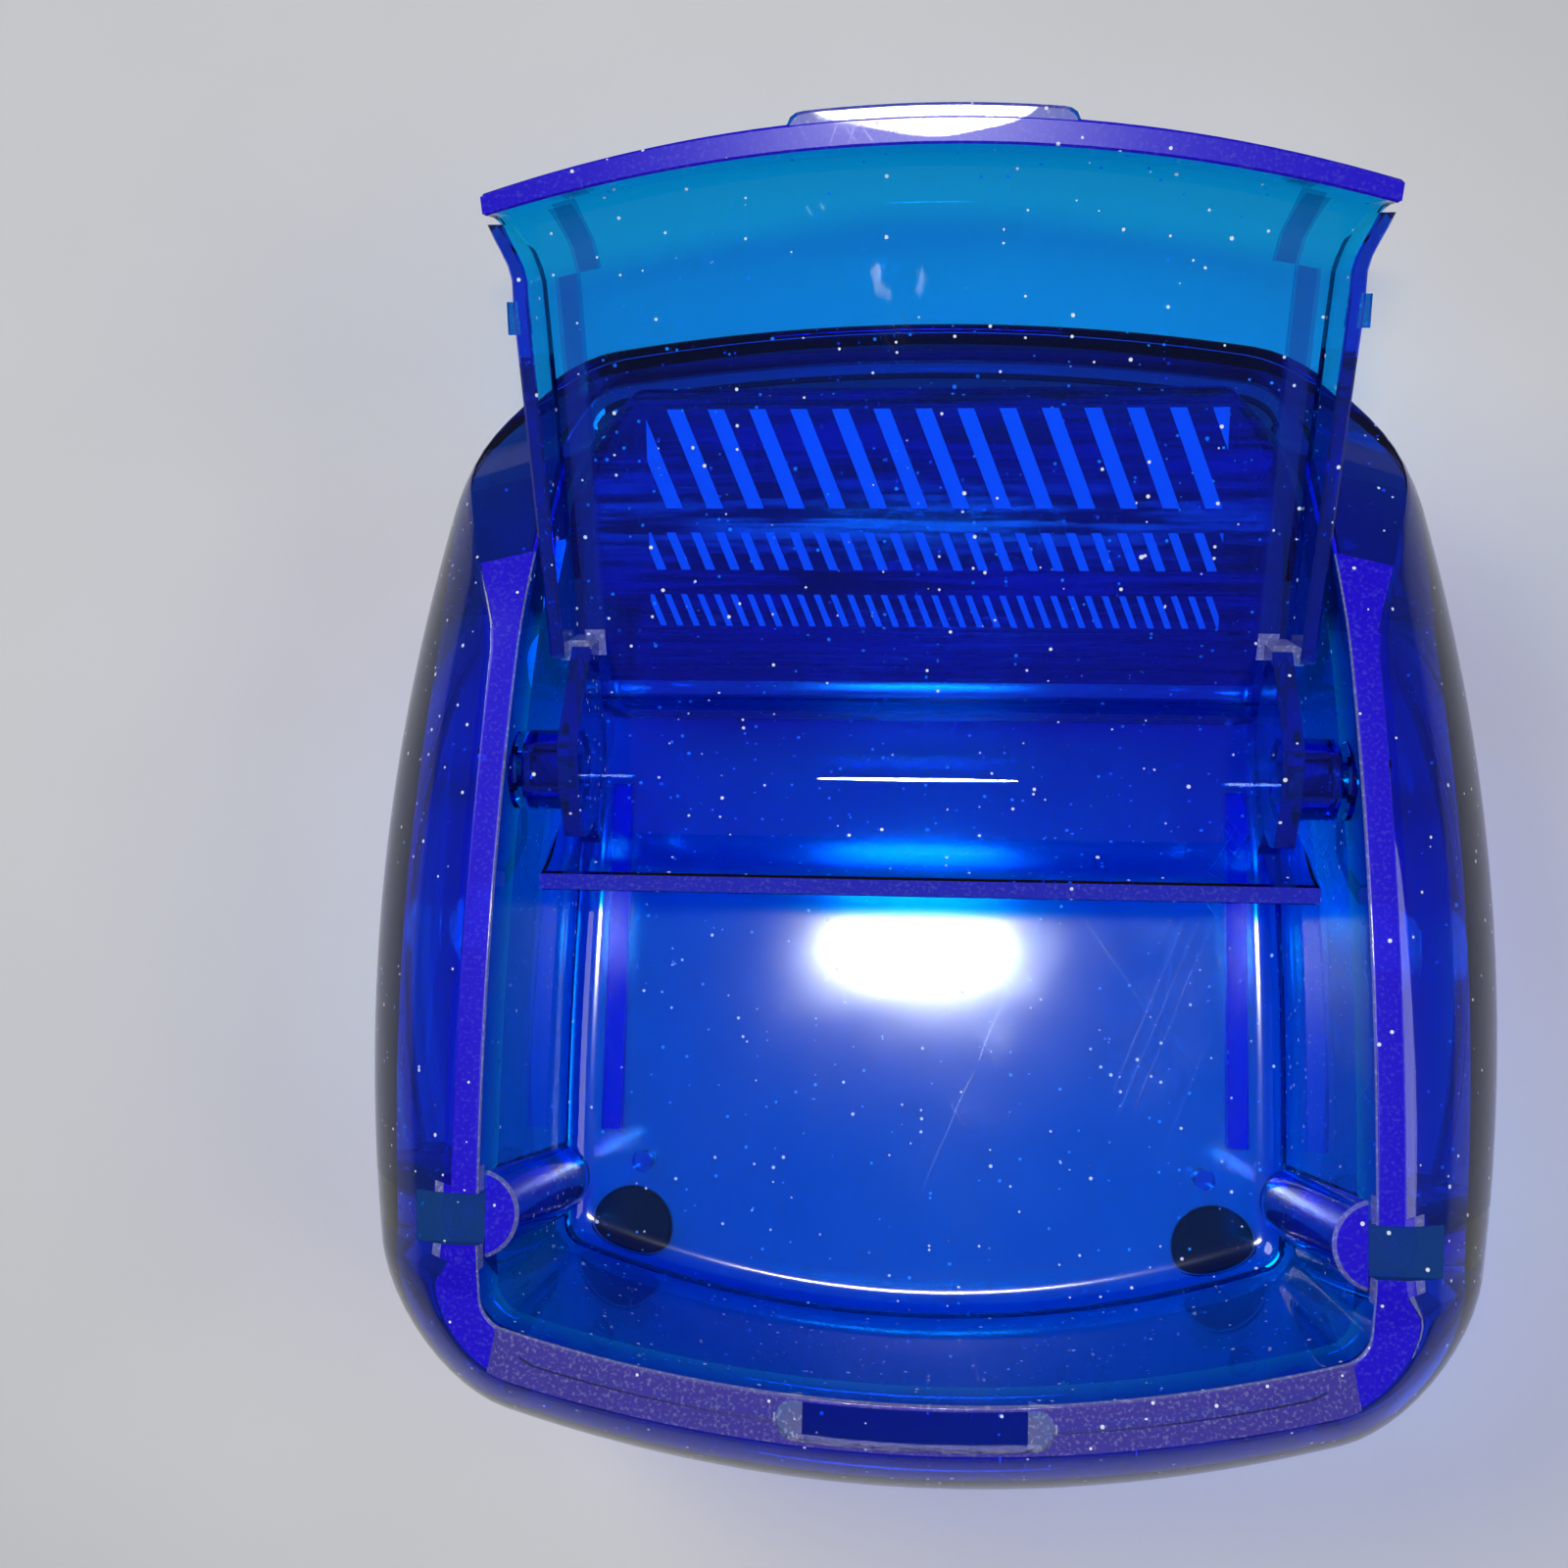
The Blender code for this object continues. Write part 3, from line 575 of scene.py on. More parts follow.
def hair_scratches(finish, pitch, heading, patches):
    """Fine straight scratches that run one way, at random spacings, and only in patches."""
    aside = finish.axis(0) * math.cos(heading) + finish.axis(1) * math.sin(heading)
    steps = (aside + patches * 3.0 * MM) / pitch
    row = {"W": steps.math("FLOOR")}
    pick = finish.node("ShaderNodeTexWhiteNoise", {"noise_dimensions": "1D"}, row)
    line = steps.math("FRACT").under(SCRATCH_WIDTH) * pick.under(SCRATCH_KEPT)
    return line * (patches + pick * 0.3).over(SCRATCH_PATCHES)


ACRYLIC_IOR = 1.49
DEEP_BLUE = (0.004, 0.006, 0.30, 1.0)
CHALK = (0.50, 0.52, 0.68)
FROST = (0.26, 0.27, 0.44)
POWDER = (0.72, 0.78, 0.86, 1.0)
SHADOW_TINT = (0.78, 0.87, 0.93, 1.0)
LINT_SHADE = (0.3, 0.3, 0.3)


def frost_and_painted_light_and_shade(finish, clear, frosted):
    """Lays each face's stored tint over the clear plastic: frost and dust, painted light on end-on
    edges and painted shade on outer walls.
    """
    tint = finish.made("ShaderNodeAttribute", {"attribute_name": "edge_tint"})
    hue, strength = (Value(finish, tint.outputs[name]) for name in ("Color", "Alpha"))
    grain = finish.noise(2400.0, 3.0).eased(0.50, 0.70)
    chalk_and_painted_light = finish.mixed((grain * finish.axis(0, hue) * 4.0).clamped(), hue, CHALK)
    if frosted is not None:
        frost = frosted(finish)
        chalk_and_painted_light = finish.mixed(frost, chalk_and_painted_light, FROST)
        strength = (strength + frost * (0.35 + grain * 0.4)).clamped()
    edge = finish.plastic({"Base Color": chalk_and_painted_light, "Roughness": 0.28, "Specular IOR Level": 0.2})
    return finish.layered(strength, clear, edge)


def clear_blue(name, look, depth=1.0, wave=1.0, dust=1.0, shade=1.0, satin=None, streaks=None,
               printed=None, frosted=None, edges=True):
    """Clear blue plastic whose colour deepens with the way light takes through it.

    satin, streaks, printed and frosted are functions that add masks for one piece.
    """
    care = bpy.context.scene.deskbox_finish
    finish = Finish(name, look)
    patches = finish.noise(42.0, 2.0, rough=0.6)
    lint = specks(finish, 800.0, 0.20, 0.36 * care.dust * dust)
    lint = (lint + specks(finish, 260.0, 0.09, 0.24 * care.dust * dust)).clamped()
    scratch = hair_scratches(finish, 1.3 * MM, 0.6, patches)
    scratch = scratch + hair_scratches(finish, 1.7 * MM, -0.4, patches)
    scratch = (scratch * care.scratches).clamped()
    rough = patches.eased(0.60, 0.75) * 0.05 + scratch * 0.3 + care.gloss
    height = finish.noise(75.0, 1.0) * wave + scratch * 0.08
    if satin is not None:
        rough = rough + satin(finish) * (0.08 + patches * 0.09)
    haze = None
    if streaks is not None:
        rise, haze = streaks(finish)
        height = height + rise
    # shade darkens the colour of this copy of the plastic: painted shade.
    worn = finish.plastic({
        "Base Color": finish.mixed(patches, (0.8 * shade, 0.95 * shade, shade), (shade, shade, shade)),
        "Roughness": rough.clamped(), "IOR": ACRYLIC_IOR, "Transmission Weight": 1.0,
        "Normal": finish.bump(height, 0.06 * MM, 0.5),
    })
    if haze is not None:
        worn = finish.layered(haze, worn, finish.plastic({"Base Color": DEEP_BLUE, "Roughness": 0.3}))
    # Layers each face's tint on top: frost and dust, painted light and painted shade.
    if edges:
        worn = frost_and_painted_light_and_shade(finish, worn, frosted)
    if printed is not None:
        ink = finish.plastic({"Base Color": (*care.ink, 1.0), "Roughness": 0.45})
        worn = finish.layered(printed(finish) * 0.85, worn, ink)
    powder = finish.plastic({"Base Color": POWDER, "Roughness": 0.9})
    worn = finish.layered(lint * 0.8, worn, powder)
    passing = finish.node("ShaderNodeBsdfTransparent", {}, {"Color": SHADOW_TINT})
    in_shadow = finish.node("ShaderNodeLightPath", output="Is Shadow Ray")
    body = finish.node("ShaderNodeVolumeAbsorption", {}, {
        "Color": (*care.passed, 1.0), "Density": care.depth * depth,
    })
    return finish.closed(finish.layered(in_shadow, worn, passing), body)


def foot_rubber():
    dark = tuple(bpy.context.scene.deskbox_finish.rubber)
    worn = tuple(min(1.0, c * 2.4 + 0.006) for c in dark)
    finish = Finish("foot_rubber", dark)
    blotch = finish.noise(160.0, 3.0)
    dust = specks(finish, 900.0, 0.06, 0.2) * 0.8
    return finish.closed(finish.plastic({
        "Base Color": finish.mixed(dust, finish.mixed(blotch, dark, worn), LINT_SHADE),
        "Roughness": (0.62 + blotch * 0.3).clamped(),
        "Normal": finish.bump(finish.noise(1500.0, 4.0), 0.08 * MM, 0.6),
    }))


def plain_floor():
    pale = tuple(bpy.context.scene.deskbox_finish.ground)
    finish = Finish("plain_floor", pale)
    return finish.closed(finish.plastic({
        "Base Color": finish.mixed(finish.noise(30.0, 4.0), tuple(c * 0.93 for c in pale), pale),
        "Roughness": (0.6 + finish.noise(25.0, 2.0) * 0.2).clamped(),
    }))


# ---------------------------------------------------------------------------
# Pieces


def base_bowl(sizes):
    """The lower shell with its base plate, foot seats and stud sockets."""
    bottom, top = sizes.base_z, sizes.seam_z
    plate_top = bottom + sizes.skin
    ease = 0.4 * MM
    rings = [lower_ring(sizes, bottom, -4.0 * MM), lower_ring(sizes, bottom, -ease)]
    heights = [bottom + (top - bottom) * (i / SHELL_STEPS) ** 0.9 for i in range(SHELL_STEPS + 1)]
    rings += [lower_ring(sizes, z + (ease if i == 0 else 0.0)) for i, z in enumerate(heights)]
    inner = [z for z in heights[::-1] if z > plate_top + 1.0 * MM]
    rings += [lower_ring(sizes, z, -sizes.skin) for z in inner]
    rings.append(lower_ring(sizes, plate_top + 0.5 * MM, -sizes.skin - 0.2 * MM))
    rings += [lower_ring(sizes, plate_top, -sizes.skin - d) for d in (0.9 * MM, 4.0 * MM)]
    bowl = lofted("clear_base_bowl", rings)
    seats = []
    for node in foot_nodes():
        x, y, radius = foot_plan(node)
        sections = [(radius + SEAT_PLAY, -MM), (radius + SEAT_PLAY, bottom + SEAT_DEPTH)]
        seats.append(upright_round(f"seat_{node}", x, y, sections))
    for side in (-1, 1):
        sections = [(SOCKET_RADIUS, plate_top - 1.3 * MM), (SOCKET_RADIUS, plate_top + MM)]
        seats.append(upright_round(f"socket_{side}", side * STUD_PLACE[0], STUD_PLACE[1], sections))
    bowl = shaped(bowl, cuts=seats)

    # Outward faces of the bowl get painted shade that darkens them.
    def tint_at(place, normal):
        faces_out = normal.z < 0.5 and normal.xy.dot(Vector((place.x, place.y + 5.0 * MM))) > 0.0
        return OUTER_WALL_PAINTED_SHADE if faces_out and place.z > bottom + 3.0 * MM else NO_EDGE

    mark_edges(bowl.data, tint_at)
    return bowl


def foot_nodes():
    return sorted(name for name in frame["nodes"] if name.startswith("foot_"))


def foot_plan(node):
    """The middle of a foot and its radius."""
    low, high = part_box(node)
    return (low[0] + high[0]) / 2, (low[1] + high[1]) / 2, (high[0] - low[0]) / 2


def tray_rings(sizes):
    """Rings up the inside of the tray, over the rim, down the outside and back under the floor."""
    floor = sizes.floor_z
    tall = sizes.rim_z - floor
    rings = []

    def level(z, grow):
        return [(x, y, z) for x, y, _ in tray_ring(sizes, (z - floor) / tall, grow)]

    rings.append(level(floor, -sizes.fillet - 3.0 * MM))
    rings.append(level(floor, -sizes.fillet - 0.3 * MM))
    for turn in arc(0.0, 90.0, 8):
        rise = sizes.fillet * (1 - math.cos(turn))
        rings.append(level(floor + rise, -sizes.fillet * (1 - math.sin(turn))))
    rings += [tray_ring(sizes, rise) for rise in (0.3, 0.5, 0.7, 0.85, 0.95)]
    ease = sizes.rim_round
    for turn in arc(0.0, 90.0, 3):
        rings.append(tray_ring(sizes, 1.0, ease * (1 - math.cos(turn)), ease * (1 - math.sin(turn))))
    rings.append(upper_ring(sizes, 1.0, -ease))
    rings.append(upper_ring(sizes, 1.0, -0.3 * ease, 0.05 * ease))
    rises = [1 - (i / SHELL_STEPS) ** 1.3 for i in range(SHELL_STEPS + 1)]
    rings += [upper_ring(sizes, rise) for rise in rises[1:]]
    rings += [upper_ring(sizes, rise, -sizes.skin) for rise in rises[::-1] if rise < 0.66]
    wall = sizes.tray_wall
    rings += [tray_ring(sizes, rise, wall) for rise in (0.78, 0.6, 0.4, 0.2)]
    underside = floor - sizes.skin
    for grow in (wall - 0.6 * MM, wall - 4.0 * MM):
        rings.append([(x, y, underside) for x, y, _ in tray_ring(sizes, 0.0, grow)])
    return rings


def tray_shell(sizes, lid):
    """The tray with its rim, posts, bosses, notches, finger recess, ribs and studs."""
    shell = lofted("clear_tray_shell", tray_rings(sizes))
    joins, cuts = [], []
    underside = sizes.floor_z - sizes.skin
    plate_top = sizes.base_z + sizes.skin
    for side in (-1, 1):
        x, y = side * POST_PLACE[0], POST_PLACE[1]
        r = sizes.post_radius
        sections = [(r, sizes.floor_z - MM), (r, POST_TOP - 0.4 * MM), (r - 0.4 * MM, POST_TOP)]
        joins.append(upright_round(f"post_{side}", x, y, sections))
        b = lid.boss_radius
        sections = [(44.3 * MM, b - 0.3 * MM), (44.6 * MM, b), (46.5 * MM, b)]
        joins.append(level_round(f"wall_boss_{side}", sections, PIVOT.y, PIVOT.z, side))
        sections = [(42.0 * MM, lid.bore_radius), (48.4 * MM, lid.bore_radius)]
        cuts.append(level_round(f"wall_bore_{side}", sections, PIVOT.y, PIVOT.z, side))
        along = (NOTCH_Y - NOTCH_LENGTH / 2, NOTCH_Y + NOTCH_LENGTH / 2)
        up = (sizes.rim_z - sizes.notch_depth, sizes.rim_z + MM)
        cuts.append(side_block(f"notch_{side}", side, (41.0 * MM, 60.0 * MM), along, up))
        across = (RIB_X - RIB_HALF, RIB_X + RIB_HALF)
        up = (plate_top + 0.3 * MM, underside + MM)
        joins.append(side_block(f"rib_{side}", side, across, (RIB_FRONT, RIB_REAR), up))
        x, y = side * STUD_PLACE[0], STUD_PLACE[1]
        sections = [(STUD_RADIUS, plate_top - 1.0 * MM), (STUD_RADIUS, underside + MM)]
        joins.append(upright_round(f"stud_{side}", x, y, sections))
    ledge = sizes.rim_z - sizes.front_drop
    top = sizes.rim_z + MM
    for name, half, y, width, depth in (
        ("groove", 41.0 * MM, -62.3 * MM, 1.0 * MM, 0.8 * MM),
        ("recess", sizes.recess_half, -62.4 * MM, 4.0 * MM, 1.6 * MM),
    ):
        cuts.append(bowed_bar(name, half, y, FRONT_BOW, width, ledge - depth, top, 60))
    piece = shaped(shell, joins, cuts)
    mark_edges(piece.data, tray_tint(sizes))
    return piece


def tray_tint(sizes):
    """A rule that gives each face of the tray shell its tint of frost, dust, painted light and painted
    shade.
    """
    points = RIM.points()
    outward = [Vector((b[0] - a[0], b[1] - a[1])).normalized() for a, b in zip(points, RIM.points(MM))]
    heights = edge_heights(sizes, RIM)
    ledge = sizes.rim_z - sizes.front_drop
    tree = KDTree(len(points))
    for i, (x, y) in enumerate(points):
        tree.insert((x, y, 0.0), i)
    tree.balance()

    def tint_at(place, normal):
        x, y, z = place
        side = abs(x)
        from_post = math.dist((side, y), POST_PLACE)
        under_rim = sizes.rim_z - z
        # Notch walls, post tops and ribs get painted light: the deep blue of light running through the
        # plastic's thickness.
        if abs(y - NOTCH_Y) < NOTCH_LENGTH / 2 + NEAR and side > 45.7 * MM and under_rim > 0.3 * MM:
            return TEAL_EDGE_PAINTED_LIGHT if under_rim < sizes.notch_depth + NEAR else NO_EDGE
        if from_post < sizes.post_radius + NEAR and z > POST_TOP - 0.45 * MM:
            return DEEP_EDGE_PAINTED_LIGHT if normal.z > 0.9 else CHALKY_EDGE
        on_rib = abs(side - RIB_X) < RIB_HALF + NEAR and RIB_FRONT - 5 * NEAR < y < RIB_REAR + 5 * NEAR
        if on_rib and z < sizes.floor_z - sizes.skin:
            return DEEP_EDGE_PAINTED_LIGHT
        _, i, distance = tree.find((x, y, 0.0))
        beyond = outward[i].dot(Vector((x - points[i][0], y - points[i][1])))
        # Outward faces of the outer wall get painted shade that darkens them.
        if beyond > 0.2 * MM and normal.xy.dot(outward[i]) > 0.2 and z < heights[i] - 0.5 * MM:
            return OUTER_WALL_PAINTED_SHADE
        steep = 1.2 * MM + 2.3 * MM * smooth_step((y - 28.0 * MM) / (10.0 * MM))
        near_top = abs(z - heights[i]) < steep and distance < 5.0 * MM and beyond < NEAR
        # Front rim tops and the front ledge get dust over painted light; the other rim tops get
        # painted light alone, and the rounded inner edges get frost and dust.
        front = y < -50.0 * MM and side < 44.0 * MM
        if front and abs(z - ledge) < 0.3 * MM and normal.z > 0.9:
            return DUST_OVER_PAINTED_LIGHT
        if not near_top or normal.z < 0.15:
            return NO_EDGE
        if normal.z < 0.93 and y < 30.0 * MM and beyond < -2.2 * MM:
            return CHALKY_EDGE
        return DUST_OVER_PAINTED_LIGHT if front else DEEP_EDGE_PAINTED_LIGHT

    return tint_at


SADDLE_ARC_STEPS = 48


def saddle_half_width(y, z, floor):
    """Half the saddle's width, which narrows with the tray, at the rear corners and by the floor."""
    walls = (y + 27.4 * MM) ** 2 / (2 * 0.600)
    corner = 4.0 * MM * (max(0.0, y - 34.0 * MM) / (18.0 * MM)) ** 2
    foot = 3.0 * MM if z < floor + 1.5 * MM else 0.0
    return 44.5 * MM - walls - corner - foot


def saddle_solid(name, sizes, lid, inset):
    """The saddle shrunk by inset, and the number of points in its outline."""
    low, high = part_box("rear_saddle")
    radius = lid.saddle_radius - inset
    centre_y = low[1] + lid.saddle_radius
    centre_z = high[2] - lid.saddle_radius
    foot = sizes.floor_z + 0.3 * MM - 1.5 * inset
    knee = sizes.floor_z + 3.0 * MM
    rear_y = 51.9 * MM - 1.3 * inset
    last = math.acos((rear_y - centre_y) / radius)
    outline = [(centre_y - radius, foot), (centre_y - radius, knee)]
    for i in range(SADDLE_ARC_STEPS + 1):
        turn = math.pi + (last - math.pi) * i / SADDLE_ARC_STEPS
        outline.append((centre_y + radius * math.cos(turn), centre_z + radius * math.sin(turn)))
    outline.append((rear_y - 0.6 * MM, outline[-1][1] - 2.2 * MM))
    outline.append((33.6 * MM - inset, knee))
    outline.append((32.0 * MM - inset, foot))
    half = [saddle_half_width(y, z, sizes.floor_z) - inset for y, z in outline]
    rows = [[(side * x, y, z) for x, (y, z) in zip(half, outline)] for side in (-1, 1)]
    return lofted(name, rows), len(outline)


def saddle_piece(sizes, lid):
    """The hollow hump that closes the rear of the tray."""
    saddle, count = saddle_solid("clear_saddle", sizes, lid, 0.0)
    step = saddle.modifiers.new("rounded_ends", "BEVEL")
    step.width = 4.5 * MM
    step.segments = 8
    step.limit_method = "WEIGHT"
    weights = saddle.data.attributes.new("bevel_weight_edge", "FLOAT", "EDGE")
    for edge in saddle.data.edges:
        a, b = edge.vertices
        same_end = (a < count) == (b < count)
        low, high = sorted((a % count, b % count))
        arched = low >= 1 and high <= SADDLE_ARC_STEPS + 2
        weights.data[edge.index].value = 1.0 if same_end and arched else 0.0
    hollow, _ = saddle_solid("hollow", sizes, lid, lid.saddle_wall)
    return shaped(saddle, cuts=[hollow])


# Each band of strokes: where it starts and ends, the pitch in mm, and the inked share.
PRINT_BANDS = ((27.5, 38.4, 4.6, 0.40), (20.6, 24.8, 2.8, 0.38), (14.2, 17.8, 1.9, 0.38))
PANEL_START = 8.0 * MM
PANEL_END = 60.0 * MM
PANEL_START_UP = 11.9 * MM
PANEL_END_UP = 13.5 * MM
LID_EDGE_UP = 5.2 * MM
SKIRT_STEPS = 24
TAIL_HALF = 39.1 * MM
PANEL_HALF = 41.4 * MM
LID_WEB = ((37.7 * MM, 41.0 * MM), (-13.4 * MM, -11.1 * MM), (6.2 * MM, 10.7 * MM))
LID_NUB = ((42.6 * MM, 44.9 * MM), (-50.1 * MM, -46.7 * MM), (4.9 * MM, 6.6 * MM))
TAB_HALF = 15.2 * MM


def lid_half_width(lid, forward, up):
    """Half the lid's width: it narrows into the roll and flares a little at the skirt."""
    if forward < PANEL_START:
        return 43.3 * MM - 4.2 * MM * smooth_step(1 + forward / lid.knuckle_in)
    draft = (up - LID_EDGE_UP) / (PANEL_START_UP - LID_EDGE_UP)
    flare = 2.2 * MM * smooth_step((forward - 57.0 * MM) / (9.0 * MM))
    side = PANEL_HALF + 3.66 * MM * forward / lid.reach + flare - MM * min(1.0, max(0.0, draft))
    return TAIL_HALF + (side - TAIL_HALF) * smooth_step((forward - PANEL_START) / (3.0 * MM))


def lid_point(lid, across, forward, up, inset=0.0):
    """A place on the shut lid, where across runs from -1 to 1 between its sides."""
    half = lid_half_width(lid, forward, up) - inset
    part = max(0.0, forward) / lid.reach
    return across * half, -(forward - lid.bow * (part * across) ** 2), up


def lid_sections(lid):
    """Outside and inside points of the lid's section, from the rolled tail to the skirt."""
    pairs = []
    bend = math.degrees(math.acos(PANEL_START / lid.knuckle_out))
    radii = (lid.knuckle_out, lid.knuckle_in)
    for turn in arc(180.0, bend, 30):
        pairs.append(tuple((r * math.cos(turn), r * math.sin(turn)) for r in radii))
    stations = [0.6, 1.0, 1.5, 2.0, 2.6, 3.2] + [3.2 + 48.8 * i / 16 for i in range(1, 17)]
    for station in stations:
        part = station * MM / (PANEL_END - PANEL_START)
        up = PANEL_START_UP + (PANEL_END_UP - PANEL_START_UP) * part
        forward = PANEL_START + station * MM
        pairs.append(((forward, up), (forward, up - lid.thickness)))
    reach = lid.reach - PANEL_END
    tall = PANEL_END_UP - LID_EDGE_UP
    for i, turn in enumerate(arc(0.0, 90.0, SKIRT_STEPS)[1:], 1):
        wall = lid.thickness + 0.5 * MM * i / SKIRT_STEPS
        fall = math.cos(turn) ** 0.8 if i < SKIRT_STEPS else 0.0
        pairs.append((
            (PANEL_END + reach * math.sin(turn), LID_EDGE_UP + tall * fall),
            (PANEL_END + (reach - wall) * math.sin(turn), LID_EDGE_UP + (tall - lid.thickness) * fall),
        ))
    return pairs


def lid_sheet(lid):
    """The curved sheet of the lid, with eased edges all round."""
    steps = 36
    across = [(2 * i / steps - 1) * 0.994 for i in range(steps + 1)]
    pairs = lid_sections(lid)

    def between(pair, t):
        outer, inner = pair
        return outer[0] + (inner[0] - outer[0]) * t, outer[1] + (inner[1] - outer[1]) * t

    def ring(pair, squeeze=0.0):
        outer, inner = between(pair, squeeze), between(pair, 1 - squeeze)
        eased = [between(pair, max(0.12, squeeze)), between(pair, min(0.88, 1 - squeeze))]
        points = [lid_point(lid, a, *outer) for a in across]
        points += [lid_point(lid, 1.0, *place) for place in eased]
        points += [lid_point(lid, a, *inner) for a in reversed(across)]
        return points + [lid_point(lid, -1.0, *place) for place in reversed(eased)]

    def lean(pair, other, t):
        return tuple(tuple(p + (q - p) * t for p, q in zip(a, b)) for a, b in zip(pair, other))

    rings = [ring(pairs[0], 0.1), ring(lean(pairs[0], pairs[1], 0.3))]
    rings += [ring(pair) for pair in pairs[1:-1]]
    rings += [ring(lean(pairs[-1], pairs[-2], 0.3)), ring(pairs[-1], 0.1)]
    return lofted("clear_lid", rings)


def lid_flange(lid, side):
    """A side wall of the lid, which hangs from its roof."""
    rings = []
    steps = 30
    for i in range(steps + 1):
        forward = (11.9 + (64.2 - 11.9) * i / steps) * MM
        part = min(1.0, (forward - PANEL_START) / (PANEL_END - PANEL_START))
        roof = PANEL_START_UP + (PANEL_END_UP - PANEL_START_UP) * part
        high = roof - 1.0 * MM - 4.0 * MM * smooth_step((forward - 59.0 * MM) / (6.0 * MM))
        low = LID_EDGE_UP - 0.8 * MM + 0.8 * MM * smooth_step((forward - 52.0 * MM) / (6.0 * MM))
        outer, inner, ease = 0.12 * MM, lid.flange, 0.25 * MM
        section = (
            (low, outer + ease), (low + ease, outer), (high, outer),
            (high, inner), (low + ease, inner), (low, inner - ease),
        )
        rings.append([lid_point(lid, side, forward, up, inset) for up, inset in section])
    return lofted(f"flange_{side}", rings)


def ear_plate(lid, side):
    """The plate at one end of the roll, which carries a hinge boss."""
    radius = lid.knuckle_in + 0.8 * MM
    outline = []
    for turn in arc(65.0, 200.0, 24):
        reach = radius if turn < math.radians(150) else lid.boss_radius + 3.0 * MM
        outline.append((-reach * math.cos(turn), reach * math.sin(turn)))
    outline += [(2.0 * MM, -4.4 * MM), (-4.0 * MM, -4.4 * MM)]
    outline += [(-12.8 * MM, 5.5 * MM), (-12.8 * MM, 10.2 * MM)]
    rows = [[(side * x, y, z) for y, z in outline] for x in (37.4 * MM, 39.6 * MM)]
    return lofted(f"ear_{side}", rows)


def lid_tint(lid):
    """A rule that gives each face of the lid its tint of frost, dust and painted light, with the lid
    shut around its pivot.
    """

    def tint_at(place, normal):
        x, y, z = place
        side, forward = abs(x), -y
        # End faces, side faces and the skirt's edge get painted light, the deep blue of light running
        # through the sheet's thickness; the tab gets dust over painted light, and webs and nubs get
        # frost.
        if normal.z < -0.8 and abs(z) < 0.4 * MM and forward < -11.0 * MM:
            return BRIGHT_EDGE_PAINTED_LIGHT
        if side < TAB_HALF + 2 * NEAR and forward > lid.reach + 0.15 * MM:
            return TAB_DUST_OVER_PAINTED_LIGHT
        if forward > 58.0 * MM and z < LID_EDGE_UP + 0.25 * MM:
            return DEEP_EDGE_PAINTED_LIGHT
        if z < LID_EDGE_UP + 0.1 * MM and forward > 12.0 * MM and normal.z < -0.3:
            return SIDE_EDGE_PAINTED_LIGHT
        if 37.6 * MM < side < 41.1 * MM and 11.0 * MM < forward < 13.5 * MM and z < 10.8 * MM:
            return CHALKY_EDGE
        if side > 42.5 * MM and 46.6 * MM < forward < 50.2 * MM and z < 6.7 * MM:
            return CHALKY_EDGE
        if 37.3 * MM < side < 39.7 * MM and abs(normal.x) < 0.3:
            return SIDE_EDGE_PAINTED_LIGHT
        return NO_EDGE

    return tint_at


def lid_piece(lid):
    """The lid, built shut around its pivot and then turned back to where it lies open."""
    sheet = lid_sheet(lid)
    joins, cuts = [], []
    for side in (-1, 1):
        joins += [lid_flange(lid, side), ear_plate(lid, side)]
        b = lid.boss_radius
        sections = [(38.6 * MM, b), (43.5 * MM, b), (43.8 * MM, b - 0.3 * MM)]
        joins.append(level_round(f"boss_{side}", sections, 0.0, 0.0, side))
        for name, limits in (("web", LID_WEB), ("nub", LID_NUB)):
            joins.append(side_block(f"{name}_{side}", side, *limits))
        sections = [(38.2 * MM, lid.bore_radius), (46.0 * MM, lid.bore_radius)]
        cuts.append(level_round(f"lid_bore_{side}", sections, 0.0, 0.0, side))
    joins.append(bowed_bar(
        "tab", TAB_HALF, -lid.reach + 0.6 * MM, lid.bow, 3.6 * MM,
        LID_EDGE_UP + 0.15 * MM, LID_EDGE_UP + 2.2 * MM, 48, 0.3 * MM,
    ))
    piece = shaped(sheet, joins, cuts)
    mark_edges(piece.data, lid_tint(lid))
    layer = piece.data.attributes.new("shut_place", "FLOAT_VECTOR", "POINT")
    for vertex in piece.data.vertices:
        x, y, z = vertex.co
        layer.data[vertex.index].vector = (x, -y, z)
    piece.data.transform(Matrix.Translation(PIVOT) @ Matrix.Rotation(-SHUT_TURN, 4, "X"))
    return piece


TOOL_AXIS = (38.5 * MM, 22.5 * MM)
TOOLED_HALF = 38.0 * MM
RECESS_END, RECESS_Y = 13.0 * MM, -61.6 * MM
SCUFF_MIDDLE, SCUFF_SIZE = (-3.7 * MM, 52.0 * MM), (4.5 * MM, 4.0 * MM)
PRINT_MIDDLE, PRINT_HALF, PRINT_LEAN = 0.5 * MM, 32.0 * MM, 0.4


def tool_lines(finish):
    """Fine lines left along the saddle by its cutter: their height and their share of deep blue."""
    y = finish.axis(1) - TOOL_AXIS[0]
    z = finish.axis(2) - TOOL_AXIS[1]
    round_axis = z.math("ARCTAN2", y)
    vector = finish.node("ShaderNodeCombineXYZ", {}, {0: round_axis, 1: finish.axis(0) * 2.2})
    lines = finish.noise(17.0, 4.0, vector, rough=0.65)
    panel = abs(finish.axis(0)).under(TOOLED_HALF)
    return lines * panel * 6.0, lines.eased(0.44, 0.60) * panel * 0.60


def band(value, low, high):
    """1 between two limits and 0 outside them."""
    return value.over(low) * value.under(high)


def satin_floor(finish):
    """The floor of the tray is a little rough where things have slid about."""
    floor = bpy.context.scene.deskbox_shells.floor_z
    return band(finish.axis(2), floor - 0.3 * MM, floor + 0.3 * MM)


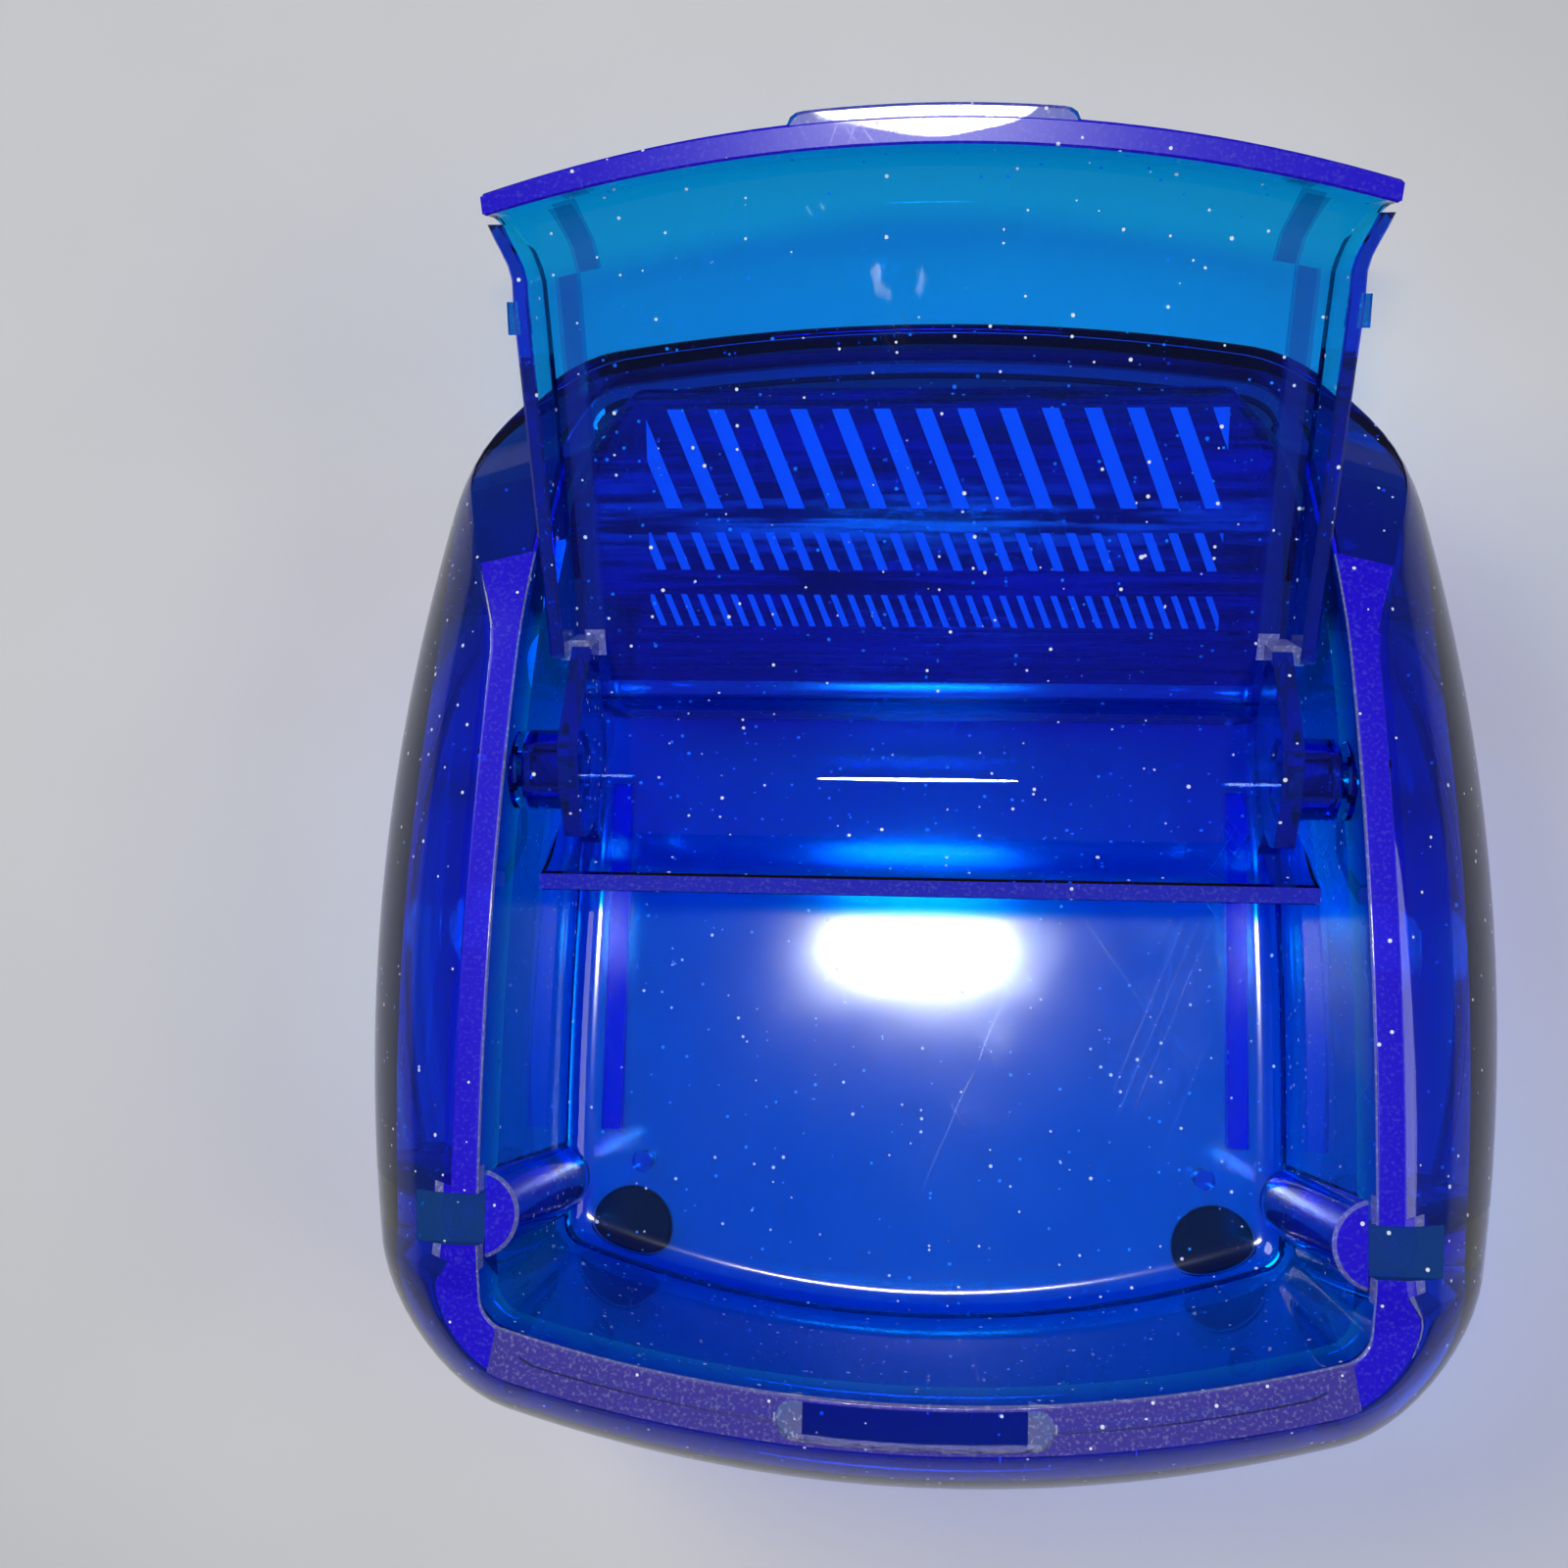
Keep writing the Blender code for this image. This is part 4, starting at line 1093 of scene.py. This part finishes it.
def frosted_recess_ends(finish):
    """The cutter left both ends of the finger recess chalky."""
    end = abs(abs(finish.axis(0)) - RECESS_END).under(1.45 * MM)
    low = band(finish.axis(2), 46.7 * MM, 48.7 * MM)
    front = abs(finish.axis(1) - RECESS_Y).under(2.3 * MM)
    return end * low * front


def shut_axes(finish):
    """Across, forward and up on the lid as if it were shut."""
    shut = finish.node("ShaderNodeAttribute", {"attribute_name": "shut_place"}, {}, "Vector")
    split = finish.made("ShaderNodeSeparateXYZ", {}, {0: shut})
    return [Value(finish, output) for output in split.outputs]


def scuffed_lid(finish):
    """A patch near the front of the lid is rubbed dull."""
    across, forward, _ = shut_axes(finish)
    aside = (across - SCUFF_MIDDLE[0]) / SCUFF_SIZE[0]
    along = (forward - SCUFF_MIDDLE[1]) / SCUFF_SIZE[1]
    patch = (aside * aside + along * along).eased(1.0, 0.2)
    worn = finish.noise(420.0, 3.0, finish.placed(turn=(0.0, 0.0, 0.8), stretch=(1.0, 0.15, 1.0)))
    return patch * worn.eased(0.5, 0.6)


def printed_bands(finish):
    """Three bands of slanted strokes on the outside of the lid."""
    across, forward, up = shut_axes(finish)
    slope = (PANEL_END_UP - PANEL_START_UP) / (PANEL_END - PANEL_START)
    outside = (up - forward * slope).over(PANEL_START_UP - PANEL_START * slope - 0.3 * MM)
    inked = None
    for low, high, pitch, bold in PRINT_BANDS:
        leaning = (across + forward * PRINT_LEAN) / (pitch * MM)
        stroke = leaning.math("FRACT").under(bold)
        stroke = stroke * band(forward, low * MM, high * MM)
        inked = stroke if inked is None else inked + stroke
    return inked * outside * abs(across - PRINT_MIDDLE).under(PRINT_HALF)


class Tree(Nodes):
    """A Geometry Nodes tree with named inputs."""

    def __init__(self, name, sizes, result):
        self.tree = bpy.data.node_groups.new(name, "GeometryNodeTree")
        interface = self.tree.interface
        interface.new_socket("Places", in_out="INPUT", socket_type="NodeSocketGeometry")
        for label, value in sizes.items():
            socket = interface.new_socket(label, in_out="INPUT", socket_type="NodeSocketFloat")
            socket.default_value = value
        interface.new_socket(result, in_out="OUTPUT", socket_type="NodeSocketGeometry")
        self.given = self.made("NodeGroupInput").outputs

    def node(self, kind, settings=None, inputs=None):
        """Adds a node and returns its first output."""
        return self.made(kind, settings, inputs).outputs[0]

    def number(self, operation, first, second):
        return self.node("ShaderNodeMath", {"operation": operation}, {0: first, 1: second})

    def turned(self, bottom, top, low, high):
        """The side of a turned piece between two radii and two heights."""
        side = self.node("GeometryNodeMeshCone", {"fill_type": "NONE"}, {
            "Vertices": ROUND_STEPS, "Radius Top": top, "Radius Bottom": bottom,
            "Depth": self.number("SUBTRACT", high, low),
        })
        return self.raised(side, low)

    def raised(self, geometry, height):
        lift = self.node("ShaderNodeCombineXYZ", {}, {"Z": height})
        return self.node("GeometryNodeTransform", {}, {"Geometry": geometry, "Translation": lift})

    def end(self, radius, height):
        disc = self.node("GeometryNodeMeshCircle", {"fill_type": "NGON"}, {
            "Vertices": ROUND_STEPS, "Radius": radius,
        })
        return self.raised(disc, height)

    def joined(self, parts):
        join = self.made("GeometryNodeJoinGeometry")
        for part in parts:
            self.feed(join.inputs[0], part)
        inputs = {"Geometry": join.outputs[0], "Distance": 0.001 * MM}
        return self.node("GeometryNodeMergeByDistance", {}, inputs)


def turned_feet_tree(material):
    """One foot with eased edges on every point of a mesh."""
    tree = Tree("turned_feet", {"Radius": 5.3 * MM, "Height": 1.8 * MM, "Edge": 0.35 * MM}, "Feet")
    radius, height, edge = (tree.given[name] for name in ("Radius", "Height", "Edge"))
    small = tree.number("SUBTRACT", radius, edge)
    shoulder = tree.number("SUBTRACT", height, edge)
    foot = tree.joined([
        tree.end(small, 0.0), tree.turned(small, radius, 0.0, edge),
        tree.turned(radius, radius, edge, shoulder), tree.turned(radius, small, shoulder, height),
        tree.end(small, height),
    ])
    inputs = {"Points": tree.given["Places"], "Instance": foot}
    copies = tree.node("GeometryNodeInstanceOnPoints", {}, inputs)
    real = tree.node("GeometryNodeRealizeInstances", {}, {"Geometry": copies})
    paint = tree.node("GeometryNodeSetMaterial", {}, {"Geometry": real, "Material": material})
    tree.made("NodeGroupOutput", {}, {"Feet": paint})
    return tree.tree


def from_tree(name, carrier, tree, values):
    """Runs a Geometry Nodes tree on a carrier object and keeps the result as a plain mesh."""
    step = carrier.modifiers.new("nodes", "NODES")
    step.node_group = tree
    for item in tree.interface.items_tree:
        if item.item_type == "SOCKET" and item.in_out == "INPUT" and item.name in values:
            step[item.identifier] = values[item.name]
    mesh = settled(carrier)
    bpy.data.objects.remove(carrier, do_unlink=True)
    return linked(name, mesh)


def feet_piece():
    material = foot_rubber()
    plans = [foot_plan(node) for node in foot_nodes()]
    mesh = bpy.data.meshes.new("foot_places")
    mesh.from_pydata([(x, y, 0.0) for x, y, _ in plans], [], [])
    low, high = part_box(foot_nodes()[0])
    values = {"Radius": plans[0][2], "Height": high[2] - low[2]}
    feet = from_tree("rubber_feet", linked("foot_places", mesh), turned_feet_tree(material), values)
    bm = bmesh.new()
    bm.from_mesh(feet.data)
    feet.data = closed_mesh(bm, "rubber_feet")
    return shaped(feet), material


# ---------------------------------------------------------------------------
# Operators


CAMERA_PLACE = (0.76 * MM, -19.4 * MM, 229.95 * MM)
CAMERA_TURN = (0.1281, 0.0831, 0.025)
CAMERA_LENS = 39.3
ROOM_TINT = (0.86, 0.90, 1.0, 1.0)
ROOM_STRENGTH = 0.11
FLOOR_HALF = 2.0
LIGHTS_AIM = Vector((0.0, 0.0, 0.03))


class DESKBOX_OT_stage(bpy.types.Operator):
    """Set out the floor, the soft lights and the camera"""

    bl_idname = "deskbox.stage"
    bl_label = "Stage"

    def execute(self, context):
        scene = context.scene
        care = scene.deskbox_finish
        mesh = bpy.data.meshes.new("floor")
        corners = [(-1, -1), (1, -1), (1, 1), (-1, 1)]
        places = [(x * FLOOR_HALF, y * FLOOR_HALF, 0.0) for x, y in corners]
        mesh.from_pydata(places, [], [(0, 1, 2, 3)])
        mesh.materials.append(plain_floor())
        floor = linked("floor", mesh)
        self.soft_light("key", (-0.50, 0.30, 0.62), 0.45, care.key, 1.0)
        self.soft_light("fill", (0.62, -0.15, 0.55), 0.50, care.fill, 1.0)
        self.soft_light("lens", (-0.003, -0.003, 0.310), 0.056, care.spark, 0.28)
        world = bpy.data.worlds.new("studio")
        world.use_nodes = True
        background = world.node_tree.nodes["Background"].inputs
        background["Color"].default_value = ROOM_TINT
        background["Strength"].default_value = ROOM_STRENGTH
        scene.world = world
        data = bpy.data.cameras.new("camera")
        data.lens = CAMERA_LENS
        data.sensor_width = 36.0
        data.clip_start = 0.005
        camera = bpy.data.objects.new("camera", data)
        camera.location = CAMERA_PLACE
        camera.rotation_euler = Euler(CAMERA_TURN, "XYZ")
        scene.collection.objects.link(camera)
        scene.camera = camera
        scene.view_settings.view_transform = "Standard"
        return {"FINISHED"}

    def soft_light(self, name, place, size, power, flatness):
        """An elliptical light aimed at the box; flatness is its depth over its width."""
        data = bpy.data.lights.new(name, "AREA")
        data.shape = "ELLIPSE"
        data.size = size
        data.size_y = size * flatness
        data.energy = power
        light = bpy.data.objects.new(name, data)
        light.location = place
        aim = LIGHTS_AIM - Vector(place)
        light.rotation_euler = Vector((0.0, 0.0, -1.0)).rotation_difference(aim).to_euler()
        bpy.context.scene.collection.objects.link(light)


class PieceBuilder:
    """Runs build with the sizes of the shells and of the lid."""

    def execute(self, context):
        self.build(context.scene.deskbox_shells, context.scene.deskbox_lid)
        return {"FINISHED"}


class DESKBOX_OT_base_bowl(PieceBuilder, bpy.types.Operator):
    """Build the lower outer shell"""

    bl_idname = "deskbox.base_bowl"
    bl_label = "Base bowl"

    def build(self, sizes, _):
        # The base bowl's copy of the plastic is darkened by painted shade.
        material = clear_blue("base_blue", (0.01, 0.06, 0.5), wave=0.6, dust=0.1, shade=0.58)
        dress(base_bowl(sizes), material, "base_blue", "box", "base_bowl")


class DESKBOX_OT_tray_shell(PieceBuilder, bpy.types.Operator):
    """Build the upper shell with the tray"""

    bl_idname = "deskbox.tray_shell"
    bl_label = "Tray shell"

    def build(self, sizes, lid):
        material = clear_blue("shell_blue", (0.01, 0.08, 0.6), wave=0.6, satin=satin_floor,
                              frosted=frosted_recess_ends)
        dress(tray_shell(sizes, lid), material, "shell_blue", "box", "tray_shell")


class DESKBOX_OT_saddle(PieceBuilder, bpy.types.Operator):
    """Build the hump that the lid rolls over"""

    bl_idname = "deskbox.saddle"
    bl_label = "Saddle"

    def build(self, sizes, lid):
        material = clear_blue("saddle_blue", (0.01, 0.06, 0.5), wave=0.6, streaks=tool_lines,
                              edges=False)
        dress(saddle_piece(sizes, lid), material, "saddle_blue", "box", "rear_saddle")


class DESKBOX_OT_lid(PieceBuilder, bpy.types.Operator):
    """Build the lid"""

    bl_idname = "deskbox.lid"
    bl_label = "Lid"

    def build(self, _, lid):
        # The lid's copy of the plastic is darkened a little by painted shade.
        material = clear_blue("lid_blue", (0.01, 0.1, 0.65), depth=1.6, shade=0.90, satin=scuffed_lid,
                              printed=printed_bands)
        dress(lid_piece(lid), material, "lid_blue", "flip_lid", "lid")


class DESKBOX_OT_pins(PieceBuilder, bpy.types.Operator):
    """Build the two hinge pins"""

    bl_idname = "deskbox.pins"
    bl_label = "Hinge pins"

    def build(self, _, lid):
        radius, ease = lid.pin_radius, 0.3 * MM
        material = clear_blue("pin_blue", (0.02, 0.09, 0.55), dust=0.0, edges=False)
        for node in ("hinge_pin_left", "hinge_pin_right"):
            (start, *_), (end, *_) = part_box(node)
            sections = [(start, radius - ease), (start + ease, radius)]
            sections += [(end - ease, radius), (end, radius - ease)]
            pin = shaped(level_round(f"clear_{node}", sections, PIVOT.y, PIVOT.z))
            dress(pin, material, "pin_blue", "box", node)


class DESKBOX_OT_feet(PieceBuilder, bpy.types.Operator):
    """Build the four rubber feet"""

    bl_idname = "deskbox.feet"
    bl_label = "Feet"

    def build(self, *_):
        feet, material = feet_piece()
        dress(feet, material, "foot_rubber", "box", *foot_nodes())


class DESKBOX_PT_panel(bpy.types.Panel):
    """Lists the builders and their settings"""

    bl_idname = "DESKBOX_PT_panel"
    bl_label = "Desk box"
    bl_space_type = "VIEW_3D"
    bl_region_type = "UI"
    bl_category = "Desk box"

    def draw(self, context):
        layout = self.layout
        for group in (getattr(context.scene, name) for name in GROUPS):
            column = layout.column(align=True)
            for name in group.__annotations__:
                column.prop(group, name)
        for operator in OPERATORS:
            layout.operator(operator.bl_idname)


OPERATORS = (
    DESKBOX_OT_stage,
    DESKBOX_OT_base_bowl,
    DESKBOX_OT_tray_shell,
    DESKBOX_OT_saddle,
    DESKBOX_OT_lid,
    DESKBOX_OT_pins,
    DESKBOX_OT_feet,
)
GROUPS = {
    "deskbox_shells": DESKBOX_PG_shells,
    "deskbox_lid": DESKBOX_PG_lid,
    "deskbox_finish": DESKBOX_PG_finish,
}
CLASSES = (*GROUPS.values(), *OPERATORS, DESKBOX_PT_panel)


def register():
    for cls in CLASSES:
        bpy.utils.register_class(cls)
    for name, group in GROUPS.items():
        setattr(bpy.types.Scene, name, bpy.props.PointerProperty(type=group))


def unregister():
    for name in GROUPS:
        delattr(bpy.types.Scene, name)
    for cls in reversed(CLASSES):
        bpy.utils.unregister_class(cls)


def main():
    register()
    bpy.ops.deskbox.stage()
    bpy.ops.deskbox.base_bowl()
    bpy.ops.deskbox.tray_shell()
    bpy.ops.deskbox.saddle()
    bpy.ops.deskbox.lid()
    bpy.ops.deskbox.pins()
    bpy.ops.deskbox.feet()


if __name__ == "__main__":
    main()
